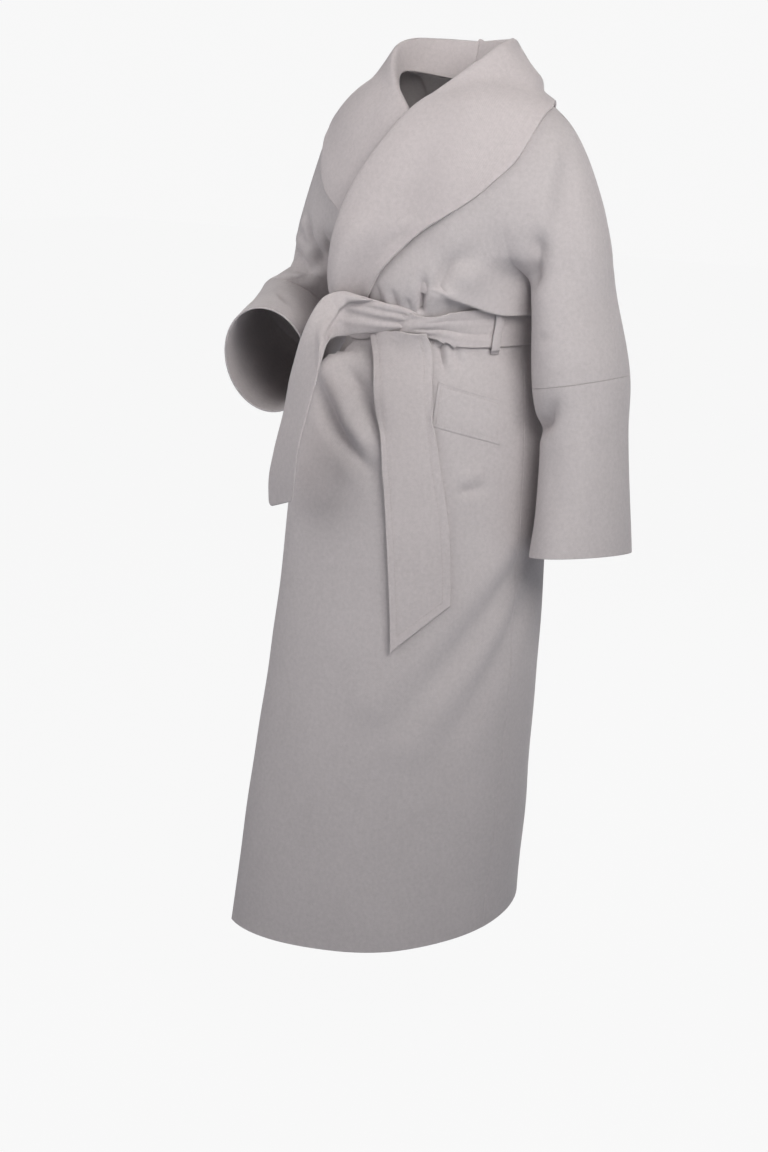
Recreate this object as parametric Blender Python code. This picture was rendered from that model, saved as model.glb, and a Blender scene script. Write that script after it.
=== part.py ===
"""Robe coat: a long belted wrap coat with a deep shawl collar and batwing sleeves.

Metres. The origin is where the wearer's shoulders hold the coat, at the base of the neck.
+Z is up, the front faces -Y and the wearer's left is +X.
"""

import math
from collections import namedtuple

import bmesh
import bpy
import numpy as np
from mathutils import Matrix, Vector
from mathutils.bvhtree import BVHTree

# Driving dimensions of the cloth
WALL = 0.0026          # coating cloth
COLLAR_WALL = 0.0042   # the collar is two cloths
BELT_WALL = 0.0034     # the belt is two cloths
SEAM_GAP = 0.0004      # clearance between two pieces at a seam
LAYER_GAP = 0.0006     # clearance between a piece and what it lies on
COAT_COLOUR = (0.47, 0.44, 0.44)
COLLAR_COLOUR = (0.52, 0.48, 0.48)
WOOL_ROUGHNESS = 0.95

# Driving dimensions of the cut
NECK_HALF = 0.075      # half the neckline's width at the shoulder seams
NECK_BACK = 0.058      # how far the neckline runs back
SHOULDER_DROP = 0.055  # fall of the shoulder seam from neck to shoulder tip
UNDERARM_Z = -0.290    # top of the side seam
HEM_Z = -1.240         # mean height of the hem
HEM_TILT = 0.020       # how much the hem dips towards HEM_LOW_DEG and rises across from it
HEM_LOW_DEG = -30.0
HEM_RAISE = 0.010
CROTCH = 0.011         # half the width of the underarm curve just under its top
SIDE_SEAM_DEG = 80.0   # the side seams below the waist, from the centre front
WRAP_EDGE_DEG = -27.0  # the over-front's free edge at the belt, from the centre front
WRAP_SWING_DEG = -7.0  # how much further round it swings by the hem
WRAP_FLARE = 0.026     # how far it stands off by the hem
UNDER_EDGE_DEG = 34.0  # the under-front's free edge, hidden by the over-front

# Grid of the cloth
TORSO_COLUMNS = 15     # free edge to side seam on one front
BACK_COLUMNS = 20      # side seam to side seam
ARM_COLUMNS = 8        # underarm to overarm on one half of a sleeve
UPPER_ROWS = 9         # shoulder seam to underarm
UPPER_ARM_ROWS = 4     # underarm to elbow seam
LOWER_ARM_ROWS = 8     # elbow seam to cuff
CREASE_SHARE = 0.42    # where the body ends and the sleeve starts on an upper section

# Body sections in the order in which the cloth runs down, from the underarm to the hem.
# sag_left and sag_right are how much lower a section is at that side, where the cloth bags
# over the belt.
Section = namedtuple("Section", "z half_width front back shift_x shift_y sag_left sag_right rows")
BODY = (
    Section(UNDERARM_Z, 0.1500, 0.148, 0.126, 0.0150, 0.000, 0.000, 0.000, 0),
    Section(-0.295, 0.1520, 0.151, 0.130, 0.0130, 0.000, 0.027, 0.008, 3),
    Section(-0.306, 0.1440, 0.141, 0.119, 0.0080, 0.000, -0.012, 0.006, 2),
    Section(-0.338, 0.1380, 0.132, 0.111, 0.0060, 0.000, 0.000, 0.002, 2),
    Section(-0.376, 0.1430, 0.136, 0.113, 0.0040, -0.002, 0.000, 0.000, 2),
    Section(-0.420, 0.1600, 0.150, 0.128, 0.0020, -0.007, 0.000, 0.000, 2),
    Section(-0.560, 0.1810, 0.172, 0.152, -0.0050, -0.018, 0.000, 0.000, 4),
    Section(-0.900, 0.2030, 0.190, 0.182, -0.0200, -0.043, 0.000, 0.000, 6),
    Section(HEM_Z, 0.2120, 0.204, 0.200, -0.0370, -0.068, 0.000, 0.000, 6),
)
BELT_KEY = 3           # the row of BODY that the belt presses in

# Upper sections from the underarm (level 0) to the shoulder seam (level 1).
# split is how far the section is parted into body and sleeves; over_* is the overarm's X.
Upper = namedtuple("Upper", "level split over_left over_right edge_left edge_right")
UPPER = (
    Upper(0.00, 1.00, 0.265, 0.253, -0.078, 0.078),
    Upper(0.18, 0.72, 0.262, 0.249, -0.070, 0.070),
    Upper(0.40, 0.30, 0.250, 0.234, -0.050, 0.050),
    Upper(0.60, 0.06, 0.234, 0.219, -0.026, 0.026),
    Upper(0.78, 0.00, 0.216, 0.204, 0.006, -0.006),
    Upper(0.92, 0.00, 0.196, 0.184, 0.052, -0.052),
    Upper(1.00, 0.00, 0.178, 0.170, NECK_HALF, -NECK_HALF),
)
UPPER_FRONT = 0.132    # depth of the upper sections at level 0, before they part
UPPER_BACK = 0.122
DOME_POWER = 2.3       # how squarely the shoulders round over

# Sleeve sections: across is the half-width from inside to outside, deep from front to back.
# pitch turns a section from level (0) to facing forward (90); roll lifts its outer side;
# yaw turns it in towards the wearer's middle.
Cuff = namedtuple("Cuff", "x y z across deep pitch roll yaw")
SLEEVE = {
    "left": (
        Cuff(0.215, 0.000, UNDERARM_Z, 0.050, 0.075, 0, 0, 0),
        Cuff(0.234, 0.004, -0.416, 0.059, 0.085, 0, 11, 0),
        Cuff(0.246, 0.000, -0.500, 0.053, 0.076, 4, 9, 0),
        Cuff(0.256, -0.012, -0.660, 0.061, 0.092, 6, 8, 0),
    ),
    "right": (
        Cuff(-0.194, 0.000, UNDERARM_Z, 0.059, 0.075, 0, 0, 0),
        Cuff(-0.242, -0.022, -0.366, 0.063, 0.085, 46, 6, 8),
        Cuff(-0.218, -0.088, -0.386, 0.062, 0.081, 64, 4, 16),
        Cuff(-0.160, -0.212, -0.405, 0.061, 0.080, 72, 0, 20),
    ),
}

# How far the over-front stands off the under-front, by row: wide above the belt, where the
# under-front's collar lies between them, and close below it.
OVER_LIFT_TOP = 0.0150
OVER_LIFT_SKIRT = 0.0078
OVER_LIFT_FROM_X = 0.150   # the lift starts at this X and is whole at the next
OVER_LIFT_WHOLE_X = 0.088

SIDE_SIGN = {"left": 1.0, "right": -1.0}

# Collar halves by place along the neckline: 0 centre back, 1 shoulder seam, 2 where the fronts
# cross, 4 the belt. roll is the fold at the top of the collar, out its outer edge.
COLLAR_STATIONS = 24
COLLAR_LEVEL = ((1.0, 1.0), (1.4, 0.92), (2.0, 0.78), (3.0, 0.40), (3.5, 0.18), (4.0, 0.02))
Collar = namedtuple("Collar", "place roll_x roll_y roll_z out_x out_y out_z")
COLLAR = {
    "left": (
        Collar(0.0, 0.000, 0.076, 0.046, 0.000, 0.136, -0.088),
        Collar(0.5, 0.052, 0.060, 0.048, 0.088, 0.124, -0.084),
        Collar(0.8, 0.080, 0.032, 0.048, 0.150, 0.078, -0.066),
        Collar(1.0, 0.086, -0.004, 0.040, 0.180, 0.026, -0.042),
        Collar(1.4, 0.048, -0.070, -0.012, 0.186, -0.018, -0.050),
        Collar(2.0, 0.003, -0.110, -0.058, 0.168, -0.076, -0.107),
        Collar(2.5, -0.034, -0.144, -0.118, 0.133, -0.100, -0.151),
        Collar(3.0, -0.060, -0.166, -0.178, 0.100, -0.126, -0.183),
        Collar(3.5, -0.073, -0.179, -0.238, 0.044, -0.158, -0.226),
        Collar(3.8, -0.078, -0.180, -0.272, 0.000, -0.168, -0.262),
        Collar(4.0, -0.080, -0.180, -0.292, -0.030, -0.168, -0.290),
    ),
    "right": (
        Collar(0.0, 0.000, 0.076, 0.046, 0.000, 0.136, -0.088),
        Collar(0.5, -0.052, 0.060, 0.048, -0.088, 0.124, -0.084),
        Collar(0.8, -0.080, 0.032, 0.048, -0.144, 0.078, -0.066),
        Collar(1.0, -0.086, -0.004, 0.040, -0.168, 0.026, -0.044),
        Collar(1.4, -0.050, -0.068, -0.014, -0.172, -0.020, -0.056),
        Collar(2.0, -0.004, -0.096, -0.062, -0.170, -0.080, -0.115),
        Collar(2.5, 0.024, -0.122, -0.118, -0.146, -0.110, -0.160),
        Collar(3.0, 0.050, -0.140, -0.174, -0.100, -0.140, -0.197),
        Collar(3.5, 0.070, -0.142, -0.238, -0.040, -0.154, -0.240),
        Collar(3.8, 0.075, -0.140, -0.268, 0.000, -0.154, -0.268),
        Collar(4.0, 0.078, -0.138, -0.284, 0.022, -0.150, -0.282),
    ),
}
COLLAR_OFF = 0.0030        # from the edge it is sewn to, to the middle of the collar's start
COLLAR_LOFT = 0.0050       # how far the collar's fall stands off the fronts and the back
COLLAR_TUCKED = 0.0022     # the same for the under collar where the over-front covers it

# Soft folds of the skirt: a ridge from one place to another, each an angle from the centre
# front and a height, with its half-width and how far it stands out.
Fold = namedtuple("Fold", "from_deg from_z to_deg to_z half_width out")
FOLDS = (
    Fold(66, -0.69, 22, -0.87, 0.030, 0.0050),
    Fold(72, -0.77, 38, -0.93, 0.028, 0.0045),
    Fold(-22, -0.41, 2, -0.53, 0.022, 0.0060),
    Fold(150, -0.46, 146, -0.95, 0.034, 0.0060),
    Fold(186, -0.46, 184, -1.10, 0.036, 0.0060),
    Fold(222, -0.46, 228, -0.95, 0.034, 0.0060),
)

# Belt: a band round the waist, narrowed to a crossing at the knot
BELT_KEYS = (2.50, 2.75, 3.00, 3.50, 3.90)   # rows of BODY across the band
BELT_RIGHT_FROM = 9        # the under-front's first column that is clear of the over-front
KNOT_DEG = 16.0            # the crossing, from the centre front
KNOT_SPREAD_DEG = 36.0     # the band narrows over this much on both sides of it
KNOT_NARROW = 0.46         # to this share of its width

# The knot: the belt's end crosses over, is carried to the wearer's right and folds down.
# wide is half its width as a vector, thick half its thickness.
Bundle = namedtuple("Bundle", "x y z wide_x wide_y wide_z thick")
KNOT = (
    Bundle(0.046, -0.1461, -0.336, 0.000, 0.000, 0.0120, 0.0040),
    Bundle(0.014, -0.1597, -0.332, 0.000, 0.000, 0.0175, 0.0060),
    Bundle(-0.020, -0.1700, -0.326, 0.003, 0.000, 0.0215, 0.0065),
    Bundle(-0.050, -0.1840, -0.319, 0.008, -0.004, 0.0215, 0.0065),
    Bundle(-0.070, -0.2010, -0.316, 0.024, -0.017, 0.0140, 0.0055),
    Bundle(-0.073, -0.2230, -0.332, 0.032, -0.022, 0.0060, 0.0040),
    Bundle(-0.067, -0.2410, -0.360, 0.0328, -0.0229, 0.0000, 0.0017),
)
KNOT_AROUND = 12
KNOT_STEPS = 3             # steps between two rows of KNOT

# The short tail hangs free from the knot. Rows: the middle of its width and half its width.
Tail = namedtuple("Tail", "x y z wide_x wide_y")
SHORT_TAIL = (
    Tail(-0.0669, -0.2413, -0.3604, 0.0328, -0.0229),
    Tail(-0.066, -0.2560, -0.400, 0.0328, -0.0229),
    Tail(-0.067, -0.2640, -0.440, 0.0320, -0.0232),
    Tail(-0.074, -0.2720, -0.486, 0.0310, -0.0236),
    Tail(-0.084, -0.2750, -0.543, 0.0300, -0.0240),
    Tail(-0.088, -0.2740, -0.591, 0.0290, -0.0240),
)
SHORT_TAIL_STEPS = 2

# The long tail lies on the skirt. Rows: height of its left edge, how much higher the right
# edge is, and the two edges' X.
LongTail = namedtuple("LongTail", "z rise left right")
LONG_TAIL = (
    LongTail(-0.351, 0.000, -0.020, 0.068),
    LongTail(-0.440, 0.004, 0.011, 0.087),
    LongTail(-0.514, 0.006, 0.032, 0.102),
    LongTail(-0.640, 0.030, 0.054, 0.122),
    LongTail(-0.795, 0.069, 0.072, 0.134),
)
LONG_TAIL_STEPS = 4
LONG_TAIL_COLUMNS = 4
LONG_TAIL_STAND = 0.0016   # over the facets of the skirt

# Pocket welts lie on the fronts, from one column of the front to another
POCKET_COLUMNS = (9, 13)
POCKET_FRONT_Z = -0.416    # top at the end nearer the front
POCKET_SIDE_Z = -0.444     # top at the end nearer the side
POCKET_DEEP = 0.060

# Belt loops: strips sewn over the belt at the sides
LOOP_COLUMN = 12
LOOP_HALF = 0.007
LOOP_KEYS = (2.56, 2.75, 3.00, 3.50, 3.96, 4.10, 4.22)
LOOP_ENDS = 2              # rows at the bottom that lie on the front, not on the belt


def smooth(x, low, high):
    """0 at low, 1 at high, with soft ends."""
    share = np.clip((np.asarray(x, float) - low) / (high - low), 0.0, 1.0)
    return share * share * (3.0 - 2.0 * share)


def follow(keys, values, x):
    """A curve through values at keys that never overshoots, read at x."""
    keys = np.asarray(keys, float)
    values = np.asarray(values, float)
    step = np.diff(keys)
    slope = np.diff(values) / step
    tangent = np.zeros_like(values)
    tangent[0] = slope[0]
    tangent[-1] = slope[-1]
    for i in range(1, len(values) - 1):
        before, after = slope[i - 1], slope[i]
        if before * after > 0:
            wide = 2 * step[i] + step[i - 1]
            narrow = step[i] + 2 * step[i - 1]
            tangent[i] = (wide + narrow) / (wide / before + narrow / after)
    x = np.clip(np.asarray(x, float), keys[0], keys[-1])
    i = np.clip(np.searchsorted(keys, x, side="right") - 1, 0, len(step) - 1)
    h = step[i]
    s = (x - keys[i]) / h
    return (
        values[i] * (1 + 2 * s) * (1 - s) ** 2
        + h * tangent[i] * s * (1 - s) ** 2
        + values[i + 1] * s * s * (3 - 2 * s)
        + h * tangent[i + 1] * s * s * (s - 1)
    )


def column(table, name):
    return [getattr(row, name) for row in table]


def upper_value(name, level):
    return float(follow(column(UPPER, "level"), column(UPPER, name), level))


def body_value(name, key):
    return float(follow(range(len(BODY)), column(BODY, name), key))


def body_point(angle, key, covered=False):
    """A point of the body below the underarm: angle from the centre front towards the wearer's
    left, key a row number of BODY with its fraction. The covered front does not bag where the
    other one lies on it."""
    sine, cosine = math.sin(angle), math.cos(angle)
    depth = body_value("front" if cosine > 0 else "back", key)
    sag = body_value("sag_left" if sine > 0 else "sag_right", key) * smooth(abs(sine), 0.45, 0.95)
    if covered and sine > 0:
        sag = 0.0
    height = body_value("z", key)
    tilt = HEM_RAISE - HEM_TILT * math.cos(angle - math.radians(HEM_LOW_DEG))
    height += tilt * float(smooth(key, 5.0, len(BODY) - 1))
    out = folded_out(angle, height)
    return np.array((
        body_value("shift_x", key) + (body_value("half_width", key) + out) * sine,
        body_value("shift_y", key) - (depth + out) * cosine,
        height - sag,
    ))


def folded_out(angle, height):
    """How far the skirt's folds stand out at an angle and a height."""
    out = 0.0
    for fold in FOLDS:
        start = np.array((math.radians(fold.from_deg), fold.from_z))
        run = np.array((math.radians(fold.to_deg), fold.to_z)) - start
        turns = round((start[0] - angle) / (2 * math.pi)) * 2 * math.pi
        away = np.array((angle + turns, height)) - start
        scale = np.array((0.18, 1.0))
        run, away = run * scale, away * scale
        along = float(np.dot(away, run) / np.dot(run, run))
        aside = np.linalg.norm(away - np.clip(along, 0.0, 1.0) * run)
        out += fold.out * math.exp(-(aside / fold.half_width) ** 2)
    return out


def turn(point, pitch, roll, yaw):
    """Rolls about Y, pitches about X, then yaws about Z, in degrees."""
    spin = (
        Matrix.Rotation(math.radians(yaw), 3, "Z")
        @ Matrix.Rotation(math.radians(-pitch), 3, "X")
        @ Matrix.Rotation(math.radians(-roll), 3, "Y")
    )
    return np.array(spin @ Vector(point))


def sleeve_point(side, station, angle):
    """A point of a sleeve: station a row number of SLEEVE with its fraction; angle -90 degrees at
    the underarm, 0 in front, 90 at the overarm and 180 behind."""
    rows = SLEEVE[side]
    keys = range(len(rows))
    x, y, z, across, deep, pitch, roll, yaw = (
        float(follow(keys, column(rows, name), station)) for name in Cuff._fields
    )
    sign = SIDE_SIGN[side]
    flat = (sign * across * math.sin(angle), -deep * math.cos(angle), 0.0)
    return np.array((x, y, z)) + turn(flat, pitch, sign * roll, -sign * yaw)


def shoulder_seam_z(x):
    """Height of the shoulder seam at X: it falls from the neck to the shoulder tip."""
    run = np.clip((abs(x) - NECK_HALF) / (0.180 - NECK_HALF), 0.0, 1.2)
    return -SHOULDER_DROP * run ** 1.25


def upper_point(side, half, level, share):
    """A point above the underarm. share runs from the centre line (0) over the crease
    (CREASE_SHARE) to the overarm (1); half is front or back."""
    sign = SIDE_SIGN[side]
    over = upper_value("over_" + side, level)
    split = upper_value("split", level)
    forward = -1.0 if half == "front" else 1.0
    wide_depth = UPPER_FRONT if half == "front" else UPPER_BACK
    top = 1.0
    if half == "back":
        over_top = UPPER[-1].over_left
        near_neck = 1.0 - (over_top * math.sin(share * math.pi / 2) / NECK_HALF) ** 2
        top -= 0.085 * max(0.0, near_neck)
    dome = max(0.0, 1.0 - (level * top) ** DOME_POWER) ** (1.0 / DOME_POWER)
    wide = np.array((
        sign * over * math.sin(share * math.pi / 2),
        forward * wide_depth * dome * math.cos(share * math.pi / 2),
    ))
    if share <= CREASE_SHARE:
        angle = share / CREASE_SHARE * math.pi / 2
        body_angle = sign * angle if half == "front" else math.pi - sign * angle
        parted = body_point(body_angle, 0.0)[:2]
    else:
        angle = math.pi * ((share - CREASE_SHARE) / (1 - CREASE_SHARE) - 0.5)
        if half == "back":
            angle = math.pi - angle
        parted = sleeve_point(side, 0.0, angle)[:2]
    plan = (1 - split) * wide + split * parted * (1.0, dome ** 0.5)
    seam_x = upper_value("over_" + side, 1.0) * math.sin(share * math.pi / 2)
    top_z = shoulder_seam_z(seam_x)
    if half == "back":
        top_z -= 0.012 * max(0.0, 1.0 - (seam_x / NECK_HALF) ** 2)
    return np.array((plan[0], plan[1], UNDERARM_Z + level * (top_z - UNDERARM_Z)))


def share_at_x(side, level, x):
    """The share of an upper front section at which it has this X."""
    shares = np.linspace(-0.35, 0.6, 40)
    xs = [upper_point(side, "front", level, s)[0] for s in shares]
    order = np.argsort(xs)
    return float(np.interp(x, np.array(xs)[order], shares[order]))


def over_lift(points, rows_down):
    """Moves the over-front's points forward, clear of the under-front and its collar."""
    lifted = points.copy()
    for point, below in zip(lifted, rows_down):
        near = 1.0 - smooth(point[0], OVER_LIFT_WHOLE_X, OVER_LIFT_FROM_X)
        under_neck = 1.0 - smooth(point[2], -0.055, -0.005)
        amount = OVER_LIFT_TOP + (OVER_LIFT_SKIRT - OVER_LIFT_TOP) * below
        point[1] -= amount * near * under_neck
    return lifted


Panel = namedtuple("Panel", "sheet outside")


class Sheet:
    """A cloth piece as points and four-sided faces, before it has a wall."""

    def __init__(self, name):
        self.name = name
        self.points = []
        self.below = []
        self.faces = []
        self.index = {}

    def add(self, key, point, below=0.0):
        if key not in self.index:
            self.index[key] = len(self.points)
            self.points.append(np.asarray(point, float))
            self.below.append(below)
        return self.index[key]

    def quad(self, a, b, c, d):
        self.faces.append([self.index[k] for k in (a, b, c, d)])

    def array(self):
        return np.array(self.points)


def body_rows():
    """The body's rows below the underarm, as fractions of BODY."""
    keys = []
    for i in range(1, len(BODY)):
        steps = BODY[i].rows
        keys += [i - 1 + (n + 1) / steps for n in range(steps)]
    return keys


def seam_angle(key):
    """Angle of the side seams: straight to the side at the underarm, further forward below."""
    return math.radians(90.0 + (SIDE_SEAM_DEG - 90.0) * smooth(key, 2.0, 5.0))


def edge_angle(side, key):
    """Angle of a front's free edge below the underarm."""
    if side == "right":
        return math.radians(UNDER_EDGE_DEG)
    return math.radians(WRAP_EDGE_DEG + WRAP_SWING_DEG * smooth(key, BELT_KEY, len(BODY) - 1))


def crotch_inset(row, share):
    """How far the cloth beside the underarm curve is parted in the first rows under it."""
    return CROTCH * (1.0 - 0.5 ** row) * share ** 5


def front_panel(side):
    """One front with the front half of its upper sleeve."""
    sign = SIDE_SIGN[side]
    sheet = Sheet("front_" + side)
    last = TORSO_COLUMNS + ARM_COLUMNS
    for i in range(UPPER_ROWS + 1):
        level = 1.0 - i / UPPER_ROWS
        start = share_at_x(side, level, upper_value("edge_" + side, level))
        for j in range(last + 1):
            if j <= TORSO_COLUMNS:
                share = start + (CREASE_SHARE - start) * j / TORSO_COLUMNS
            else:
                share = CREASE_SHARE + (1 - CREASE_SHARE) * (j - TORSO_COLUMNS) / ARM_COLUMNS
            sheet.add((i, j), upper_point(side, "front", level, share))
    base = UPPER_ROWS
    for n, key in enumerate(body_rows(), start=1):
        start = edge_angle(side, key)
        end = sign * seam_angle(key)
        for j in range(TORSO_COLUMNS + 1):
            point = body_point(start + (end - start) * j / TORSO_COLUMNS, key, side == "right")
            point[0] -= sign * crotch_inset(n, j / TORSO_COLUMNS) * (1 - smooth(key, 0.3, 0.9))
            if side == "left":
                flare = WRAP_FLARE * smooth(key, BELT_KEY, len(BODY) - 1)
                flare *= (1 - smooth(j / TORSO_COLUMNS, 0.0, 0.45))
                point += flare * np.array((math.sin(start), -math.cos(start), 0.0))
            sheet.add((base + n, j), point, float(smooth(key, 1.0, 3.0)))
    for n in range(1, UPPER_ARM_ROWS + 1):
        for k in range(ARM_COLUMNS + 1):
            angle = math.pi * (k / ARM_COLUMNS - 0.5)
            point = sleeve_point(side, n / UPPER_ARM_ROWS, angle)
            inset = 1.6 * crotch_inset(n, 1 - k / ARM_COLUMNS) * (1 - n / UPPER_ARM_ROWS)
            point[0] += sign * inset
            sheet.add(("arm", n, k), point)
    for i in range(UPPER_ROWS):
        for j in range(last):
            sheet.quad((i, j), (i + 1, j), (i + 1, j + 1), (i, j + 1))
    for n in range(len(body_rows())):
        for j in range(TORSO_COLUMNS):
            sheet.quad((base + n, j), (base + n + 1, j), (base + n + 1, j + 1), (base + n, j + 1))
    arm_quads(sheet, lambda k: (base, TORSO_COLUMNS + k), "arm")
    if side == "right":
        sheet.faces = [face[::-1] for face in sheet.faces]
    else:
        sheet.points = list(over_lift(sheet.array(), sheet.below))
    return sheet


def arm_quads(sheet, top_key, label):
    """The faces of a half sleeve under an upper section's row."""
    for n in range(UPPER_ARM_ROWS):
        for k in range(ARM_COLUMNS):
            upper = [top_key(k), top_key(k + 1)] if n == 0 else [(label, n, k), (label, n, k + 1)]
            sheet.quad(upper[0], (label, n + 1, k), (label, n + 1, k + 1), upper[1])


def back_panel():
    """The back with the back halves of both upper sleeves. Columns run from the right overarm
    to the left one."""
    sheet = Sheet("back")
    half = BACK_COLUMNS // 2
    last = BACK_COLUMNS + 2 * ARM_COLUMNS
    for i in range(UPPER_ROWS + 1):
        level = 1.0 - i / UPPER_ROWS
        for j in range(last + 1):
            offset = j - ARM_COLUMNS - half
            side = "left" if offset >= 0 else "right"
            if abs(offset) <= half:
                share = CREASE_SHARE * abs(offset) / half
            else:
                share = CREASE_SHARE + (1 - CREASE_SHARE) * (abs(offset) - half) / ARM_COLUMNS
            sheet.add((i, j), upper_point(side, "back", level, share))
    base = UPPER_ROWS
    for n, key in enumerate(body_rows(), start=1):
        end = seam_angle(key)
        for j in range(BACK_COLUMNS + 1):
            offset = (j - half) / half
            point = body_point(math.pi - offset * (math.pi - end), key)
            inset = crotch_inset(n, abs(offset)) * (1 - smooth(key, 0.3, 0.9))
            point[0] -= math.copysign(inset, offset)
            sheet.add((base + n, j), point)
    for side in SIDE_SIGN:
        for n in range(1, UPPER_ARM_ROWS + 1):
            for k in range(ARM_COLUMNS + 1):
                angle = math.pi * (1.5 - k / ARM_COLUMNS)
                point = sleeve_point(side, n / UPPER_ARM_ROWS, angle)
                inset = 1.6 * crotch_inset(n, 1 - k / ARM_COLUMNS) * (1 - n / UPPER_ARM_ROWS)
                point[0] += SIDE_SIGN[side] * inset
                sheet.add((side, n, k), point)
    for i in range(UPPER_ROWS):
        for j in range(last):
            sheet.quad((i, j), (i, j + 1), (i + 1, j + 1), (i + 1, j))
    for n in range(len(body_rows())):
        row, under = base + n, base + n + 1
        for j in range(BACK_COLUMNS):
            first = ARM_COLUMNS + j if n == 0 else j
            sheet.quad((row, first), (row, first + 1), (under, j + 1), (under, j))
    split = len(sheet.faces)
    arm_quads(sheet, lambda k: (base, ARM_COLUMNS + BACK_COLUMNS + k), "left")
    sheet.faces[split:] = [face[::-1] for face in sheet.faces[split:]]
    arm_quads(sheet, lambda k: (base, ARM_COLUMNS - k), "right")
    return sheet


def lower_sleeve(side):
    """A lower sleeve: a tube from the elbow seam to the cuff."""
    sheet = Sheet("sleeve_lower_" + side)
    around = 2 * ARM_COLUMNS
    span = len(SLEEVE[side]) - 2
    for n in range(LOWER_ARM_ROWS + 1):
        for k in range(around):
            angle = math.pi * (k / ARM_COLUMNS - 0.5)
            sheet.add((n, k), sleeve_point(side, 1.0 + span * n / LOWER_ARM_ROWS, angle))
    for n in range(LOWER_ARM_ROWS):
        for k in range(around):
            after = (k + 1) % around
            sheet.quad((n, k), (n + 1, k), (n + 1, after), (n, after))
    if side == "right":
        sheet.faces = [face[::-1] for face in sheet.faces]
    return sheet


def shared_normals(sheets):
    """Each sheet's outward normals, the same for points that two sheets share at a seam."""
    total = {}
    keys = []
    for sheet in sheets:
        points = sheet.array()
        own = [tuple(np.round(p, 6)) for p in points]
        keys.append(own)
        for face in sheet.faces:
            a, b, c, d = (points[i] for i in face)
            normal = np.cross(c - a, d - b)
            for i in face:
                total[own[i]] = total.get(own[i], 0.0) + normal
    uses = {}
    for own in keys:
        for key in set(own):
            uses[key] = uses.get(key, 0) + 1
    normals = [np.array([total[k] / np.linalg.norm(total[k]) for k in own]) for own in keys]
    shared = [np.array([uses[k] > 1 for k in own]) for own in keys]
    return normals, shared


def pulled_from_seams(sheet, shared):
    """The sheet's points with those on a seam drawn back by half the seam gap."""
    points = sheet.array()
    moved = points.copy()
    beside = {}
    for face in sheet.faces:
        for a, b in zip(face, face[1:] + face[:1]):
            beside.setdefault(a, set()).add(b)
            beside.setdefault(b, set()).add(a)
    for i in np.flatnonzero(shared):
        inner = [n for n in beside[i] if not shared[n]]
        if inner:
            away = np.mean([points[n] - points[i] for n in inner], axis=0)
            moved[i] = points[i] + away / np.linalg.norm(away) * SEAM_GAP / 2
    return moved


def surface_tree(pieces):
    """A search tree over the faces of sheets or solids, for clearances."""
    points = []
    faces = []
    for some_points, some_faces in pieces:
        start = len(points)
        points += [Vector(p) for p in some_points]
        faces += [[start + i for i in face] for face in some_faces]
    return BVHTree.FromPolygons(points, faces)


def kept_clear(points, tree, least, most=None):
    """Moves points out until they stand at least this far from a surface, and no further than
    most where that is given."""
    moved = []
    for i, point in enumerate(points):
        spot = Vector(point)
        near, normal, _, _ = tree.find_nearest(spot)
        apart = (spot - near).dot(normal)
        wanted = max(apart, least[i])
        if most is not None:
            wanted = min(wanted, max(most[i], least[i]))
        moved.append(np.array(spot + normal * (wanted - apart)))
    return np.array(moved)


def collar_base(side, place):
    """Where a collar half starts: just off the neckline or the front's edge."""
    if place <= 1.0:
        shares = np.linspace(0.0, 0.5, 30)
        xs = [abs(upper_point(side, "back", 1.0, s)[0]) for s in shares]
        share = float(np.interp(place * NECK_HALF, xs, shares))
        return upper_point(side, "back", 1.0, share) + (0.0, 0.0, COLLAR_OFF)
    level = float(follow(*zip(*COLLAR_LEVEL), place))
    share = share_at_x(side, level, upper_value("edge_" + side, level))
    ends = np.array([upper_point(side, "front", level, s) for s in (share, share + 0.05)])
    if side == "left":
        ends = over_lift(ends, [0.0, 0.0])
    away = ends[0] - ends[1]
    away[2] += np.linalg.norm(away) * (1.0 - smooth(place, 1.0, 1.8))
    return ends[0] + away / np.linalg.norm(away) * COLLAR_OFF


def collar_half(side, tree):
    """A collar half: up from the neckline, over the roll and down to its outer edge."""
    rows = COLLAR[side]
    keys = column(rows, "place")
    sheet = Sheet("collar_" + side)
    least = []
    most = []
    across = (0.0, 0.45, 1.0, 1.16, 1.38, 1.62, 1.82, 2.0)
    for i in range(COLLAR_STATIONS + 1):
        place = 4.0 * i / COLLAR_STATIONS
        values = [float(follow(keys, column(rows, name), place)) for name in Collar._fields[1:]]
        base = collar_base(side, place)
        roll = np.array(values[:3])
        out = np.array(values[3:])
        tucked = side == "right" and place > 1.9
        for k, share in enumerate(across):
            if share <= 1.0:
                point = base + (roll - base) * share
            else:
                fall = share - 1.0
                point = roll + (out - roll) * fall
                lift = 0.016 * math.sin(math.pi * min(1.0, fall * 1.6)) * smooth(place, 1.0, 2.0)
                point[1] -= lift * (0.3 if tucked else 1.0)
            sheet.add((i, k), point)
            if k == 0:
                least.append(-1.0)
            else:
                least.append(COLLAR_TUCKED if tucked else COLLAR_LOFT * min(1.0, share * 0.6))
            under = tucked and k > 0 and point[0] > -0.105
            most.append(COLLAR_TUCKED + 0.0012 if under else 1.0)
    for i in range(COLLAR_STATIONS):
        for k in range(len(across) - 1):
            sheet.quad((i, k), (i, k + 1), (i + 1, k + 1), (i + 1, k))
    if side == "left":
        sheet.faces = [face[::-1] for face in sheet.faces]
    sheet.points = list(kept_clear(sheet.array(), tree, least, most))
    return sheet


def panel_row(key):
    """The row number of a panel, with its fraction, at a row of BODY."""
    keys = [0.0] + body_rows()
    return UPPER_ROWS + float(np.interp(key, keys, range(len(keys))))


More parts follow.
